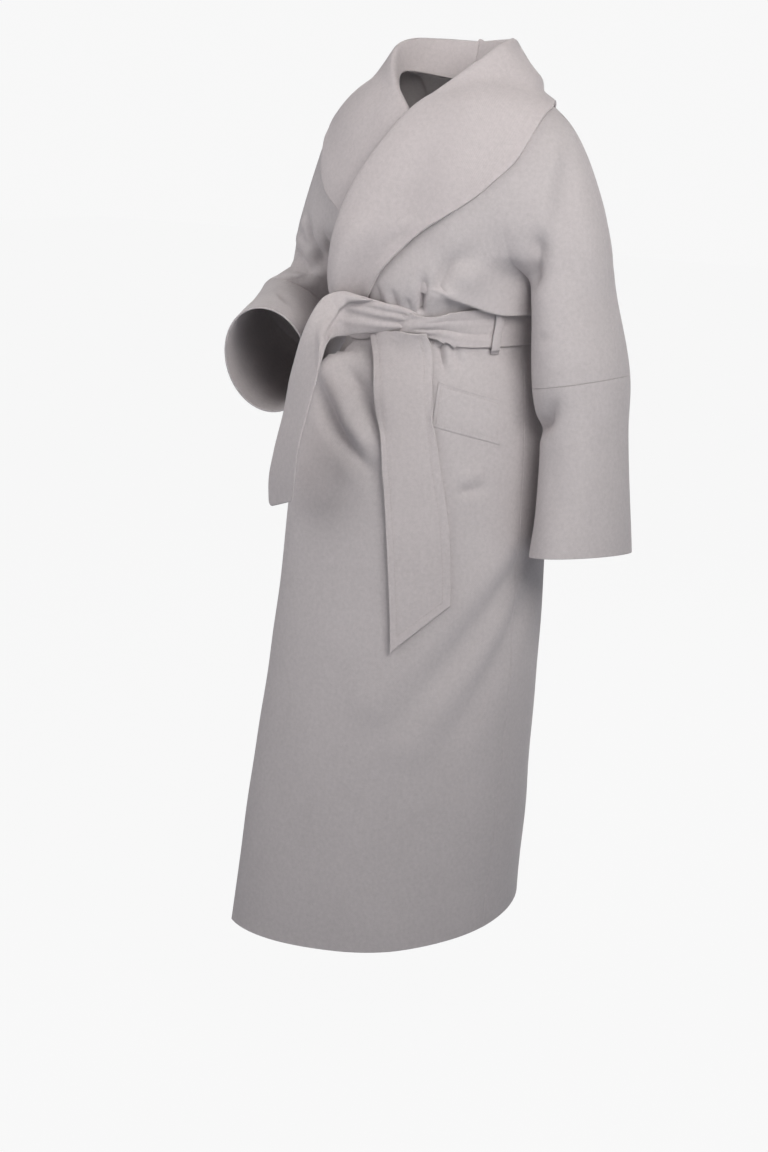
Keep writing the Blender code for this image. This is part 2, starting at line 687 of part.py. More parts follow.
def panel_point(panel, column_number, key):
    """A point on a panel's outside in one of its columns."""
    row = panel_row(key)
    low = int(math.floor(row))
    points = []
    for r in (low, low + 1):
        where = (r, column_number)
        if panel.sheet.name == "back" and r == UPPER_ROWS:
            where = (r, column_number + ARM_COLUMNS)
        last = where if where in panel.sheet.index else (low, column_number)
        points.append(panel.outside[panel.sheet.index[last]])
    return points[0] + (points[1] - points[0]) * (row - low)


def belt_band(panels):
    """The belt round the waist, from the points of the fronts and the back, moved out."""
    sheet = Sheet("belt_band")
    stops = [(panels["front_left"], j) for j in range(TORSO_COLUMNS, -1, -1)]
    stops += [(panels["front_right"], j) for j in range(BELT_RIGHT_FROM, TORSO_COLUMNS)]
    stops += [(panels["back"], j) for j in range(BACK_COLUMNS)]
    middle = 0.5 * (BELT_KEYS[0] + BELT_KEYS[-1])
    for i, (panel, j) in enumerate(stops):
        level = panel_point(panel, j, middle)
        angle = math.atan2(level[0], -level[1])
        beside = abs(math.degrees(angle) - KNOT_DEG)
        width = KNOT_NARROW + (1 - KNOT_NARROW) * smooth(beside, 4.0, KNOT_SPREAD_DEG)
        outward = np.array((math.sin(angle), -math.cos(angle), 0.0))
        for k, key in enumerate(BELT_KEYS):
            point = panel_point(panel, j, middle + (key - middle) * width)
            sheet.add((i, k), point + outward * LAYER_GAP)
    for i in range(len(stops)):
        after = (i + 1) % len(stops)
        for k in range(len(BELT_KEYS) - 1):
            sheet.quad((i, k), (after, k), (after, k + 1), (i, k + 1))
    return sheet


def belt_knot():
    """The knot: a flattened roll of belt from the crossing to where the short tail starts."""
    mesh = bmesh.new()
    keys = range(len(KNOT))
    rings = []
    count = (len(KNOT) - 1) * KNOT_STEPS
    centres = []
    for i in range(count + 1):
        values = [float(follow(keys, column(KNOT, name), i / KNOT_STEPS)) for name in Bundle._fields]
        centres.append((np.array(values[:3]), np.array(values[3:6]), values[6]))
    for i, (centre, wide, thick) in enumerate(centres):
        ahead = centres[min(i + 1, count)][0] - centres[max(i - 1, 0)][0]
        face = np.cross(ahead, wide)
        face *= thick / np.linalg.norm(face)
        ring = []
        for n in range(KNOT_AROUND):
            angle = 2 * math.pi * n / KNOT_AROUND
            share = math.copysign(abs(math.sin(angle)) ** 0.7, math.sin(angle))
            ring.append(mesh.verts.new(centre + wide * math.cos(angle) + face * share))
        rings.append(ring)
    for ring, after in zip(rings, rings[1:]):
        for n in range(KNOT_AROUND):
            m = (n + 1) % KNOT_AROUND
            mesh.faces.new((ring[n], ring[m], after[m], after[n]))
    mesh.faces.new(rings[0][::-1])
    mesh.faces.new(rings[-1])
    return finished("belt_knot", mesh)


def short_tail():
    """The tail that hangs free from the knot."""
    sheet = Sheet("belt_tail_short")
    keys = range(len(SHORT_TAIL))
    count = (len(SHORT_TAIL) - 1) * SHORT_TAIL_STEPS
    shares = (-1.0, -0.4, 0.4, 1.0)
    for i in range(count + 1):
        x, y, z, wide_x, wide_y = (
            float(follow(keys, column(SHORT_TAIL, name), i / SHORT_TAIL_STEPS))
            for name in Tail._fields
        )
        for k, share in enumerate(shares):
            lower = 0.010 * max(0.0, -share - 0.5) if i == count else 0.0
            sheet.add((i, k), (x + wide_x * share, y + wide_y * share, z + lower))
    for i in range(count):
        for k in range(len(shares) - 1):
            sheet.quad((i, k), (i + 1, k), (i + 1, k + 1), (i, k + 1))
    return sheet


def long_tail(tree):
    """The tail that hangs from under the knot and lies on the skirt."""
    sheet = Sheet("belt_tail_long")
    keys = range(len(LONG_TAIL))
    count = (len(LONG_TAIL) - 1) * LONG_TAIL_STEPS
    for i in range(count + 1):
        z, rise, left, right = (
            float(follow(keys, column(LONG_TAIL, name), i / LONG_TAIL_STEPS))
            for name in LongTail._fields
        )
        for k in range(LONG_TAIL_COLUMNS + 1):
            share = k / LONG_TAIL_COLUMNS
            start = Vector((left + (right - left) * share, -0.6, z + rise * share))
            spot, normal, _, _ = tree.ray_cast(start, Vector((0, 1, 0)))
            sheet.add((i, k), np.array(spot + normal * LONG_TAIL_STAND))
    for i in range(count):
        for k in range(LONG_TAIL_COLUMNS):
            sheet.quad((i, k), (i + 1, k), (i + 1, k + 1), (i, k + 1))
    points = sheet.array()
    for k in range(LONG_TAIL_COLUMNS + 1):
        line = [sheet.index[(i, k)] for i in range(count + 1)]
        for _ in range(3):
            flat = points[line, 1].copy()
            middle = 0.5 * (flat[:-2] + flat[2:])
            points[line[1:-1], 1] = np.minimum(flat[1:-1], middle)
    sheet.points = list(points)
    return sheet


def pocket_welt(side, panel):
    """A slanted welt on a front, from the front's own points, moved out."""
    sheet = Sheet("pocket_" + side)
    first, last = POCKET_COLUMNS
    keys = np.linspace(BELT_KEYS[-1], 7.0, 60)
    for j in range(first, last + 1):
        share = (j - first) / (last - first)
        top = POCKET_FRONT_Z + (POCKET_SIDE_Z - POCKET_FRONT_Z) * share
        heights = [panel_point(panel, j, key)[2] for key in keys]
        for k in range(4):
            z = top - POCKET_DEEP * k / 3
            key = float(np.interp(-z, -np.array(heights), keys))
            point = panel_point(panel, j, key)
            angle = math.atan2(point[0], -point[1])
            outward = np.array((math.sin(angle), -math.cos(angle), 0.0))
            sheet.add((j, k), point + outward * LAYER_GAP)
    for j in range(first, last):
        for k in range(3):
            sheet.quad((j, k), (j, k + 1), (j + 1, k + 1), (j + 1, k))
    if side == "right":
        sheet.faces = [face[::-1] for face in sheet.faces]
    return sheet


def belt_loop(side, panel):
    """A strip over the belt at one side; its lower end lies on the front."""
    sheet = Sheet("belt_loop_" + side)
    for i, key in enumerate(LOOP_KEYS):
        point = panel_point(panel, LOOP_COLUMN, key)
        angle = math.atan2(point[0], -point[1])
        outward = np.array((math.sin(angle), -math.cos(angle), 0.0))
        tangent = np.array((math.cos(angle), math.sin(angle), 0.0))
        on_front = i >= len(LOOP_KEYS) - LOOP_ENDS
        stand = LAYER_GAP * 1.6 if on_front else LAYER_GAP * 2 + BELT_WALL
        for k, share in enumerate((-1.0, 0.0, 1.0)):
            bend = 0.0006 * abs(share)
            sheet.add((i, k), point + outward * (stand + 0.0004 - bend) + tangent * share * LOOP_HALF)
    for i in range(len(LOOP_KEYS) - 1):
        for k in range(2):
            sheet.quad((i, k), (i + 1, k), (i + 1, k + 1), (i, k + 1))
    return sheet


def walled(name, points, normals, faces, wall):
    """A closed solid: the faces, the same faces a wall further out, and the rims between."""
    mesh = bmesh.new()
    inner = [mesh.verts.new(p) for p in points]
    outer = [mesh.verts.new(p + n * wall) for p, n in zip(points, normals)]
    edges = {}
    for face in faces:
        mesh.faces.new([outer[i] for i in face])
        mesh.faces.new([inner[i] for i in reversed(face)])
        for a, b in zip(face, face[1:] + face[:1]):
            edges[(a, b)] = edges.get((a, b), 0) + 1
    for a, b in edges:
        if (b, a) not in edges:
            mesh.faces.new((outer[b], outer[a], inner[a], inner[b]))
    return finished(name, mesh)


def finished(name, mesh):
    """A named object from a bmesh, shaded smooth, with its cloth."""
    bmesh.ops.recalc_face_normals(mesh, faces=mesh.faces)
    data = bpy.data.meshes.new(name)
    mesh.to_mesh(data)
    mesh.free()
    data.shade_smooth()
    data.set_sharp_from_angle(angle=math.radians(50))
    made = bpy.data.objects.new(name, data)
    bpy.context.scene.collection.objects.link(made)
    data.materials.append(cloth(name))
    return made


def cloth(name):
    """The wool of one piece: matt, the collar a little lighter than the rest."""
    colour = COLLAR_COLOUR if name.startswith("collar") else COAT_COLOUR
    material = bpy.data.materials.new(name + "_wool")
    material.use_nodes = True
    shader = material.node_tree.nodes["Principled BSDF"]
    shader.inputs["Base Color"].default_value = (*colour, 1.0)
    shader.inputs["Roughness"].default_value = WOOL_ROUGHNESS
    shader.inputs["Metallic"].default_value = 0.0
    return material


def laid(sheet, wall):
    """Gives a sheet its wall and returns its outside."""
    (normal,), _ = shared_normals([sheet])
    walled(sheet.name, sheet.array(), normal, sheet.faces, wall)
    return sheet.array() + normal * wall, sheet.faces


def main():
    for old in list(bpy.data.objects):
        bpy.data.objects.remove(old)
    sheets = [front_panel("left"), front_panel("right"), back_panel()]
    sheets += [lower_sleeve(side) for side in SIDE_SIGN]
    normals, shared = shared_normals(sheets)
    panels = {}
    for sheet, normal, seam in zip(sheets, normals, shared):
        points = pulled_from_seams(sheet, seam)
        walled(sheet.name, points, normal, sheet.faces, WALL)
        panels[sheet.name] = Panel(sheet, points + normal * WALL)
    outsides = {name: (panel.outside, panel.sheet.faces) for name, panel in panels.items()}
    under = surface_tree([outsides["front_right"], outsides["back"]])
    over = surface_tree([outsides["front_left"], outsides["back"]])
    collars = [collar_half("right", under), collar_half("left", over)]
    normals, shared = shared_normals(collars)
    for sheet, normal, seam in zip(collars, normals, shared):
        walled(sheet.name, pulled_from_seams(sheet, seam), normal, sheet.faces, COLLAR_WALL)
    on_fronts = [outsides["front_left"]]
    for side in SIDE_SIGN:
        welt = laid(pocket_welt(side, panels["front_" + side]), WALL)
        on_fronts.append(welt)
    on_fronts.append(laid(belt_band(panels), BELT_WALL))
    for side in SIDE_SIGN:
        laid(belt_loop(side, panels["front_" + side]), WALL)
    laid(long_tail(surface_tree(on_fronts)), BELT_WALL)
    belt_knot()
    laid(short_tail(), BELT_WALL)


main()
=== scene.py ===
"""Robe coat, dressed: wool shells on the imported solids, with folds, seams, topstitching and a studio.

Metres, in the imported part's own frame: +Z up, the front faces -Y, the coat's left side is +X.
"""

from __future__ import annotations

import logging
import math
from dataclasses import dataclass, field, fields
from enum import Enum

import bpy
import numpy as np
from mathutils import Matrix, Vector
from mathutils.bvhtree import BVHTree
from mathutils.kdtree import KDTree

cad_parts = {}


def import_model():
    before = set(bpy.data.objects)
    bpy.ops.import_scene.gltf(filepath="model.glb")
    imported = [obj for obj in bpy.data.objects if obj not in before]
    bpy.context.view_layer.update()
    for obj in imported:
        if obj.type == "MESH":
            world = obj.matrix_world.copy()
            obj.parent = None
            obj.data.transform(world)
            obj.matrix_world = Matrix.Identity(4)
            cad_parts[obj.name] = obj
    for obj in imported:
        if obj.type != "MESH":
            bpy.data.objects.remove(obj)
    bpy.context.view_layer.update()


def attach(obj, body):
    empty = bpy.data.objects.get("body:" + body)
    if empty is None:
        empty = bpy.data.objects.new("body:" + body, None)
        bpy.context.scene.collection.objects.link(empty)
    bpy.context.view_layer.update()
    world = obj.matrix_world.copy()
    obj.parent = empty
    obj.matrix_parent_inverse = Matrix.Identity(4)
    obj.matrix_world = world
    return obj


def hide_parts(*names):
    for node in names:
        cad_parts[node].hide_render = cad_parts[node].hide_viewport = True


Array = np.ndarray
log = logging.getLogger("robe_coat")


class Side(Enum):
    """The coat's two sides, as worn."""

    LEFT = "left"
    RIGHT = "right"

    @property
    def sign(self) -> float:
        """+1 on the left, -1 on the right."""
        return 1.0 if self is Side.LEFT else -1.0


class Half(Enum):
    """The two halves of an upper section."""

    FRONT = "front"
    BACK = "back"


class Slot(Enum):
    """The record's material slots."""

    COAT = "coat_wool"
    COLLAR = "collar_wool"
    BELT = "belt_wool"


class Held(Enum):
    """How a sheet of cloth is held."""

    HUNG = "hung"
    LAID = "laid"
    GATHERED = "gathered"
    FOLDED = "folded"


# The coat's form


def soft_step(x: Array | float, low: float, high: float) -> Array:
    """A step with soft ends.

    Args:
        x: Where to read it.
        low: Where it is 0.
        high: Where it is 1.

    Returns:
        The share from 0 to 1.
    """
    share = np.clip((np.asarray(x, float) - low) / (high - low), 0.0, 1.0)
    return share * share * (3.0 - 2.0 * share)


def follow(keys: Array, values: Array, x: Array | float) -> Array:
    """A smooth curve through values that never overshoots them.

    Args:
        keys: Rising places of the values.
        values: One value for each key.
        x: Where to read the curve.

    Returns:
        The curve at x.
    """
    keys = np.asarray(keys, float)
    values = np.asarray(values, float)
    step = np.diff(keys)
    slope = np.diff(values) / step
    tangent = np.zeros_like(values)
    tangent[0] = slope[0]
    tangent[-1] = slope[-1]
    for i in range(1, len(values) - 1):
        before, after = slope[i - 1], slope[i]
        if before * after > 0:
            wide = 2 * step[i] + step[i - 1]
            narrow = step[i] + 2 * step[i - 1]
            tangent[i] = (wide + narrow) / (wide / before + narrow / after)
    x = np.clip(np.asarray(x, float), keys[0], keys[-1])
    i = np.clip(np.searchsorted(keys, x, side="right") - 1, 0, len(step) - 1)
    h = step[i]
    s = (x - keys[i]) / h
    return (
        values[i] * (1 + 2 * s) * (1 - s) ** 2
        + h * tangent[i] * s * (1 - s) ** 2
        + values[i + 1] * s * s * (3 - 2 * s)
        + h * tangent[i + 1] * s * s * (s - 1)
    )


def column(table: tuple, name: str) -> list[float]:
    """One named column of a table of rows."""
    return [getattr(row, name) for row in table]


def unit(vectors: Array) -> Array:
    """Vectors scaled to length one."""
    return vectors / np.maximum(np.linalg.norm(vectors, axis=-1, keepdims=True), 1e-12)


@dataclass(frozen=True)
class BodySection:
    """A level section of the body, and how much lower it is at each side."""

    z: float
    half_width: float
    front: float
    back: float
    shift_x: float
    shift_y: float
    sag_left: float
    sag_right: float
    rows: int


@dataclass(frozen=True)
class UpperSection:
    """A section above the underarm: how far it parts, its overarms and its front edges."""

    level: float
    split: float
    over_left: float
    over_right: float
    edge_left: float
    edge_right: float


@dataclass(frozen=True)
class SleeveSection:
    """A sleeve section: its middle, half-sizes and turns in degrees."""

    x: float
    y: float
    z: float
    across: float
    deep: float
    pitch: float
    roll: float
    yaw: float


@dataclass(frozen=True)
class SkirtFold:
    """A broad ridge of the skirt between two places, each an angle and a height."""

    from_deg: float
    from_z: float
    to_deg: float
    to_z: float
    half_width: float
    out: float


@dataclass(frozen=True)
class CoatForm:
    """The worn form that the panels follow, from the same sizes as the solids."""

    wall: float = 0.0026
    neck_half: float = 0.075
    shoulder_drop: float = 0.055
    underarm_z: float = -0.290
    hem_tilt: float = 0.020
    hem_low_deg: float = -30.0
    hem_raise: float = 0.010
    crotch: float = 0.011
    side_seam_deg: float = 80.0
    wrap_edge_deg: float = -27.0
    wrap_swing_deg: float = -7.0
    wrap_flare: float = 0.026
    under_edge_deg: float = 34.0
    belt_key: float = 3.0
    crease_share: float = 0.42
    upper_front: float = 0.132
    upper_back: float = 0.122
    dome_power: float = 2.3
    lift_top: float = 0.0150
    lift_skirt: float = 0.0078
    lift_from_x: float = 0.150
    lift_whole_x: float = 0.088
    lift_neck_z: tuple[float, float] = (-0.055, -0.005)
    shoulder_tip_x: float = 0.180
    shoulder_bow: float = 1.25
    neck_scoop: float = 0.085
    neck_drop: float = 0.012
    sag_front: tuple[float, float] = (0.45, 0.95)
    sag_back: tuple[float, float] = (0.10, 0.96)
    fold_radius: float = 0.18
    body: tuple[BodySection, ...] = (
        BodySection(-0.290, 0.1500, 0.148, 0.126, 0.0150, 0.000, 0.000, 0.000, 0),
        BodySection(-0.295, 0.1520, 0.151, 0.130, 0.0130, 0.000, 0.031, 0.008, 10),
        BodySection(-0.306, 0.1440, 0.141, 0.119, 0.0080, 0.000, -0.012, 0.006, 9),
        BodySection(-0.338, 0.1380, 0.132, 0.111, 0.0060, 0.000, 0.000, 0.002, 10),
        BodySection(-0.376, 0.1430, 0.136, 0.113, 0.0040, -0.002, 0.000, 0.000, 12),
        BodySection(-0.420, 0.1600, 0.150, 0.128, 0.0020, -0.007, 0.000, 0.000, 12),
        BodySection(-0.560, 0.1810, 0.172, 0.152, -0.0050, -0.018, 0.000, 0.000, 28),
        BodySection(-0.900, 0.2030, 0.190, 0.182, -0.0200, -0.043, 0.000, 0.000, 56),
        BodySection(-1.240, 0.2120, 0.204, 0.200, -0.0370, -0.068, 0.000, 0.000, 54),
    )
    upper: tuple[UpperSection, ...] = (
        UpperSection(0.00, 1.00, 0.265, 0.253, -0.078, 0.078),
        UpperSection(0.18, 0.16, 0.262, 0.249, -0.070, 0.070),
        UpperSection(0.40, 0.01, 0.250, 0.234, -0.050, 0.050),
        UpperSection(0.60, 0.00, 0.234, 0.219, -0.026, 0.026),
        UpperSection(0.78, 0.00, 0.216, 0.204, 0.006, -0.006),
        UpperSection(0.92, 0.00, 0.196, 0.184, 0.052, -0.052),
        UpperSection(1.00, 0.00, 0.178, 0.170, 0.075, -0.075),
    )
    left_sleeve: tuple[SleeveSection, ...] = (
        SleeveSection(0.215, 0.000, -0.290, 0.050, 0.075, 0, 0, 0),
        SleeveSection(0.234, 0.004, -0.416, 0.059, 0.085, 0, 11, 0),
        SleeveSection(0.246, 0.000, -0.500, 0.053, 0.076, 4, 9, 0),
        SleeveSection(0.256, -0.012, -0.660, 0.061, 0.092, 6, 8, 0),
    )
    right_sleeve: tuple[SleeveSection, ...] = (
        SleeveSection(-0.194, 0.000, -0.290, 0.059, 0.075, 0, 0, 0),
        SleeveSection(-0.242, -0.022, -0.366, 0.063, 0.085, 46, 6, 8),
        SleeveSection(-0.218, -0.088, -0.386, 0.062, 0.081, 64, 4, 16),
        SleeveSection(-0.160, -0.212, -0.405, 0.061, 0.080, 72, 0, 20),
    )
    folds: tuple[SkirtFold, ...] = (
        SkirtFold(66, -0.69, 22, -0.87, 0.030, 0.0050),
        SkirtFold(72, -0.77, 38, -0.93, 0.028, 0.0045),
        SkirtFold(-22, -0.41, 2, -0.53, 0.022, 0.0060),
        SkirtFold(150, -0.46, 146, -0.95, 0.034, 0.0060),
        SkirtFold(186, -0.46, 184, -1.10, 0.036, 0.0060),
        SkirtFold(222, -0.46, 228, -0.95, 0.034, 0.0060),
    )

    def _body(self, name: str, key: Array | float) -> Array:
        """One column of the body table, read between its rows."""
        return follow(np.arange(len(self.body)), column(self.body, name), key)

    def upper_value(self, name: str, level: Array | float) -> Array:
        """One column of the upper table, read between its levels."""
        return follow(column(self.upper, "level"), column(self.upper, name), level)

    def body_keys(self) -> Array:
        """The rows of the body's fine grid, as row numbers of the body table."""
        keys = [0.0]
        for i, section in enumerate(self.body[1:]):
            keys += [i + (n + 1) / section.rows for n in range(section.rows)]
        return np.array(keys)

    def folded_out(self, angle: Array, height: Array) -> Array:
        """How far the skirt's broad folds stand out.

        Args:
            angle: Angles from the centre front, in radians.
            height: Heights.

        Returns:
            Distances outward.
        """
        out = np.zeros(np.broadcast(angle, height).shape)
        for fold in self.folds:
            start = (math.radians(fold.from_deg), fold.from_z)
            run = (self.fold_radius * (math.radians(fold.to_deg) - start[0]), fold.to_z - start[1])
            turns = np.round((start[0] - angle) / (2 * math.pi)) * 2 * math.pi
            aside = self.fold_radius * (angle + turns - start[0])
            down = height - start[1]
            along = np.clip((aside * run[0] + down * run[1]) / (run[0] ** 2 + run[1] ** 2), 0, 1)
            far = np.hypot(aside - along * run[0], down - along * run[1])
            out = out + fold.out * np.exp(-((far / fold.half_width) ** 2))
        return out

    def body_points(self, angle: Array, key: Array, covered: bool = False) -> Array:
        """Points of the body below the underarm.

        Args:
            angle: Angles from the centre front towards the left side, in radians.
            key: Row numbers of the body table with their fractions.
            covered: Whether the piece lies under the other front and does not bag there.

        Returns:
            Points, with the last axis X, Y, Z.
        """
        angle, key = np.broadcast_arrays(np.asarray(angle, float), np.asarray(key, float))
        sine, cosine = np.sin(angle), np.cos(angle)
        depth = np.where(cosine > 0, self._body("front", key), self._body("back", key))
        sag_left = 0.0 if covered else self._body("sag_left", key)
        sag = np.where(sine > 0, sag_left, self._body("sag_right", key))
        beside = np.abs(sine)
        in_front, behind = soft_step(beside, *self.sag_front), soft_step(beside, *self.sag_back)
        sag = sag * np.where(cosine > 0, in_front, behind)
        tilt = self.hem_raise - self.hem_tilt * np.cos(angle - math.radians(self.hem_low_deg))
        height = self._body("z", key) + tilt * soft_step(key, 5.0, len(self.body) - 1)
        out = self.folded_out(angle, height)
        x = self._body("shift_x", key) + (self._body("half_width", key) + out) * sine
        y = self._body("shift_y", key) - (depth + out) * cosine
        return np.stack([x, y, height - sag], axis=-1)

    def sleeve_points(self, side: Side, station: Array, angle: Array) -> Array:
        """Points of a sleeve.

        Args:
            side: Which sleeve.
            station: Row numbers of the sleeve table with their fractions.
            angle: -90 degrees at the underarm, 0 in front, 90 at the overarm, in radians.

        Returns:
            Points, with the last axis X, Y, Z.
        """
        rows = self.left_sleeve if side is Side.LEFT else self.right_sleeve
        station, angle = np.broadcast_arrays(np.asarray(station, float), np.asarray(angle, float))
        keys = np.arange(len(rows))
        read = {f.name: follow(keys, column(rows, f.name), station) for f in fields(SleeveSection)}
        roll = -np.radians(side.sign * read["roll"])
        pitch = -np.radians(read["pitch"])
        yaw = np.radians(-side.sign * read["yaw"])
        x = side.sign * read["across"] * np.sin(angle)
        y = -read["deep"] * np.cos(angle)
        x, z = x * np.cos(roll), -x * np.sin(roll)
        y, z = y * np.cos(pitch) - z * np.sin(pitch), y * np.sin(pitch) + z * np.cos(pitch)
        x, y = x * np.cos(yaw) - y * np.sin(yaw), x * np.sin(yaw) + y * np.cos(yaw)
        return np.stack([x + read["x"], y + read["y"], z + read["z"]], axis=-1)

    def shoulder_seam_z(self, x: Array) -> Array:
        """Height of the shoulder seam at X: it falls from the neck to the shoulder tip."""
        run = np.clip((np.abs(x) - self.neck_half) / (self.shoulder_tip_x - self.neck_half), 0.0, 1.2)
        return -self.shoulder_drop * run**self.shoulder_bow

    def upper_points(self, side: Side, half: Half, level: Array, share: Array) -> Array:
        """Points above the underarm.

        Args:
            side: Which side of the coat.
            half: Front or back.
            level: 0 at the underarm, 1 at the shoulder seam.
            share: From the centre line (0) over the crease to the overarm (1).

        Returns:
            Points, with the last axis X, Y, Z.
        """
        level, share = np.broadcast_arrays(np.asarray(level, float), np.asarray(share, float))
        over = self.upper_value("over_" + side.value, level)
        split = self.upper_value("split", level)
        sine, cosine = np.sin(share * math.pi / 2), np.cos(share * math.pi / 2)
        front = half is Half.FRONT
        top = np.ones(level.shape)
        if not front:
            near_neck = 1.0 - (self.upper[-1].over_left * sine / self.neck_half) ** 2
            top = top - self.neck_scoop * np.maximum(0.0, near_neck)
        power = self.dome_power
        dome = np.maximum(0.0, 1.0 - (level * top) ** power) ** (1.0 / power)
        deep = -self.upper_front if front else self.upper_back
        wide_x = side.sign * over * sine
        wide_y = deep * dome * cosine
        on_body = share <= self.crease_share
        turn = share / self.crease_share * math.pi / 2 * side.sign
        torso = self.body_points(turn if front else math.pi - turn, np.zeros(level.shape))
        round_arm = math.pi * ((share - self.crease_share) / (1 - self.crease_share) - 0.5)
        arm = self.sleeve_points(side, np.zeros(level.shape), round_arm if front else math.pi - round_arm)
        parted = np.where(on_body[..., None], torso, arm)
        x = (1 - split) * wide_x + split * parted[..., 0]
        y = (1 - split) * wide_y + split * parted[..., 1] * dome**0.5
        seam_x = self.upper_value("over_" + side.value, 1.0) * sine
        top_z = self.shoulder_seam_z(seam_x)
        if not front:
            top_z = top_z - self.neck_drop * np.maximum(0.0, 1.0 - (seam_x / self.neck_half) ** 2)
        z = self.underarm_z + level * (top_z - self.underarm_z)
        return np.stack([x, y, z], axis=-1)

    def edge_share(self, side: Side, level: float) -> float:
        """The share at which an upper front section meets that front's free edge."""
        shares = np.linspace(-0.35, 0.6, 160)
        xs = self.upper_points(side, Half.FRONT, level, shares)[:, 0]
        order = np.argsort(xs)
        edge = self.upper_value("edge_" + side.value, level)
        return float(np.interp(edge, xs[order], shares[order]))

    def over_lift(self, points: Array, below: Array) -> Array:
        """Moves the over-front clear of the under-front and its collar.

        Args:
            points: Points of the over-front.
            below: 0 above the belt, 1 on the skirt.

        Returns:
            The moved points.
        """
        near = 1.0 - soft_step(points[..., 0], self.lift_whole_x, self.lift_from_x)
        under_neck = 1.0 - soft_step(points[..., 2], *self.lift_neck_z)
        moved = points.copy()
        amount = self.lift_top + (self.lift_skirt - self.lift_top) * below
        moved[..., 1] -= amount * near * under_neck
        return moved

    def seam_angle(self, key: Array) -> Array:
        """Angle of the side seams, in radians."""
        return np.radians(90.0 + (self.side_seam_deg - 90.0) * soft_step(key, 2.0, 5.0))

    def edge_angle(self, side: Side, key: Array) -> Array:
        """Angle of a front's free edge below the underarm, in radians."""
        if side is Side.RIGHT:
            return np.full(np.shape(key), math.radians(self.under_edge_deg))
        swing = self.wrap_swing_deg * soft_step(key, self.belt_key, len(self.body) - 1)
        return np.radians(self.wrap_edge_deg + swing)


# Cloth nets, creases and shells


# How far off a fold's line, along its own outward direction, a point may lie and still have the fold
FOLD_OFF = 0.022
# In widths of the fold: how far it reaches, and where its lips stand
FOLD_REACH = 4.5
LIP_AT = 2.1
# How many swells make the cloth uneven, and how much longer or shorter than usual they are
SWELLS = 9
SWELL_RANGE = (0.6, 1.6)


@dataclass(frozen=True)
class Crease:
    """A listed fold: a soft line on the cloth, sunk or raised, that comes in and dies out.

    depth is negative for a trough; lip is the height of the soft ridges beside it; fade is the
    share of the length over which it comes in and dies out; widen is its last width by its first;
    only names the piece that has it, where the pieces under it stay as they are.
    """

    line: tuple[tuple[float, float, float], ...]
    half_width: float
    depth: float
    lip: float = 0.0
    fade: tuple[float, float] = (0.35, 0.5)
    widen: float = 1.4
    only: str = ""


def line_distance(points: Array, normals: Array, line: Array) -> tuple[Array, Array]:
    """Distance of points on a surface from a line, measured along the surface.

    Args:
        points: Points, one a row.
        normals: Outward directions at the points.
        line: The line's corners, one a row.

    Returns:
        The least distances, and how far along the line each is, from 0 to 1.
    """
    least = np.full(len(points), np.inf)
    share = np.zeros(len(points))
    runs = np.linalg.norm(np.diff(line, axis=0), axis=1)
    starts = np.concatenate([[0.0], np.cumsum(runs)])
    for k, (a, b) in enumerate(zip(line[:-1], line[1:])):
        run = b - a
        along = np.clip((points - a) @ run / max(float(run @ run), 1e-12), 0.0, 1.0)
        apart = points - a - along[:, None] * run
        off = np.einsum("ij,ij->i", apart, normals)
        far = np.sqrt(np.maximum(np.einsum("ij,ij->i", apart, apart) - off * off, 0.0))
        far = np.where(np.abs(off) < FOLD_OFF, far, np.inf)
        nearer = far < least
        least = np.where(nearer, far, least)
        share = np.where(nearer, (starts[k] + along * runs[k]) / starts[-1], share)
    return least, share


def rounded(line: Array, steps: int = 6) -> Array:
    """A smooth line through the given corners."""
    if len(line) < 3:
        return line
    keys = np.arange(len(line))
    fine = np.linspace(0, len(line) - 1, (len(line) - 1) * steps + 1)
    return np.stack([follow(keys, line[:, k], fine) for k in range(3)], axis=1)


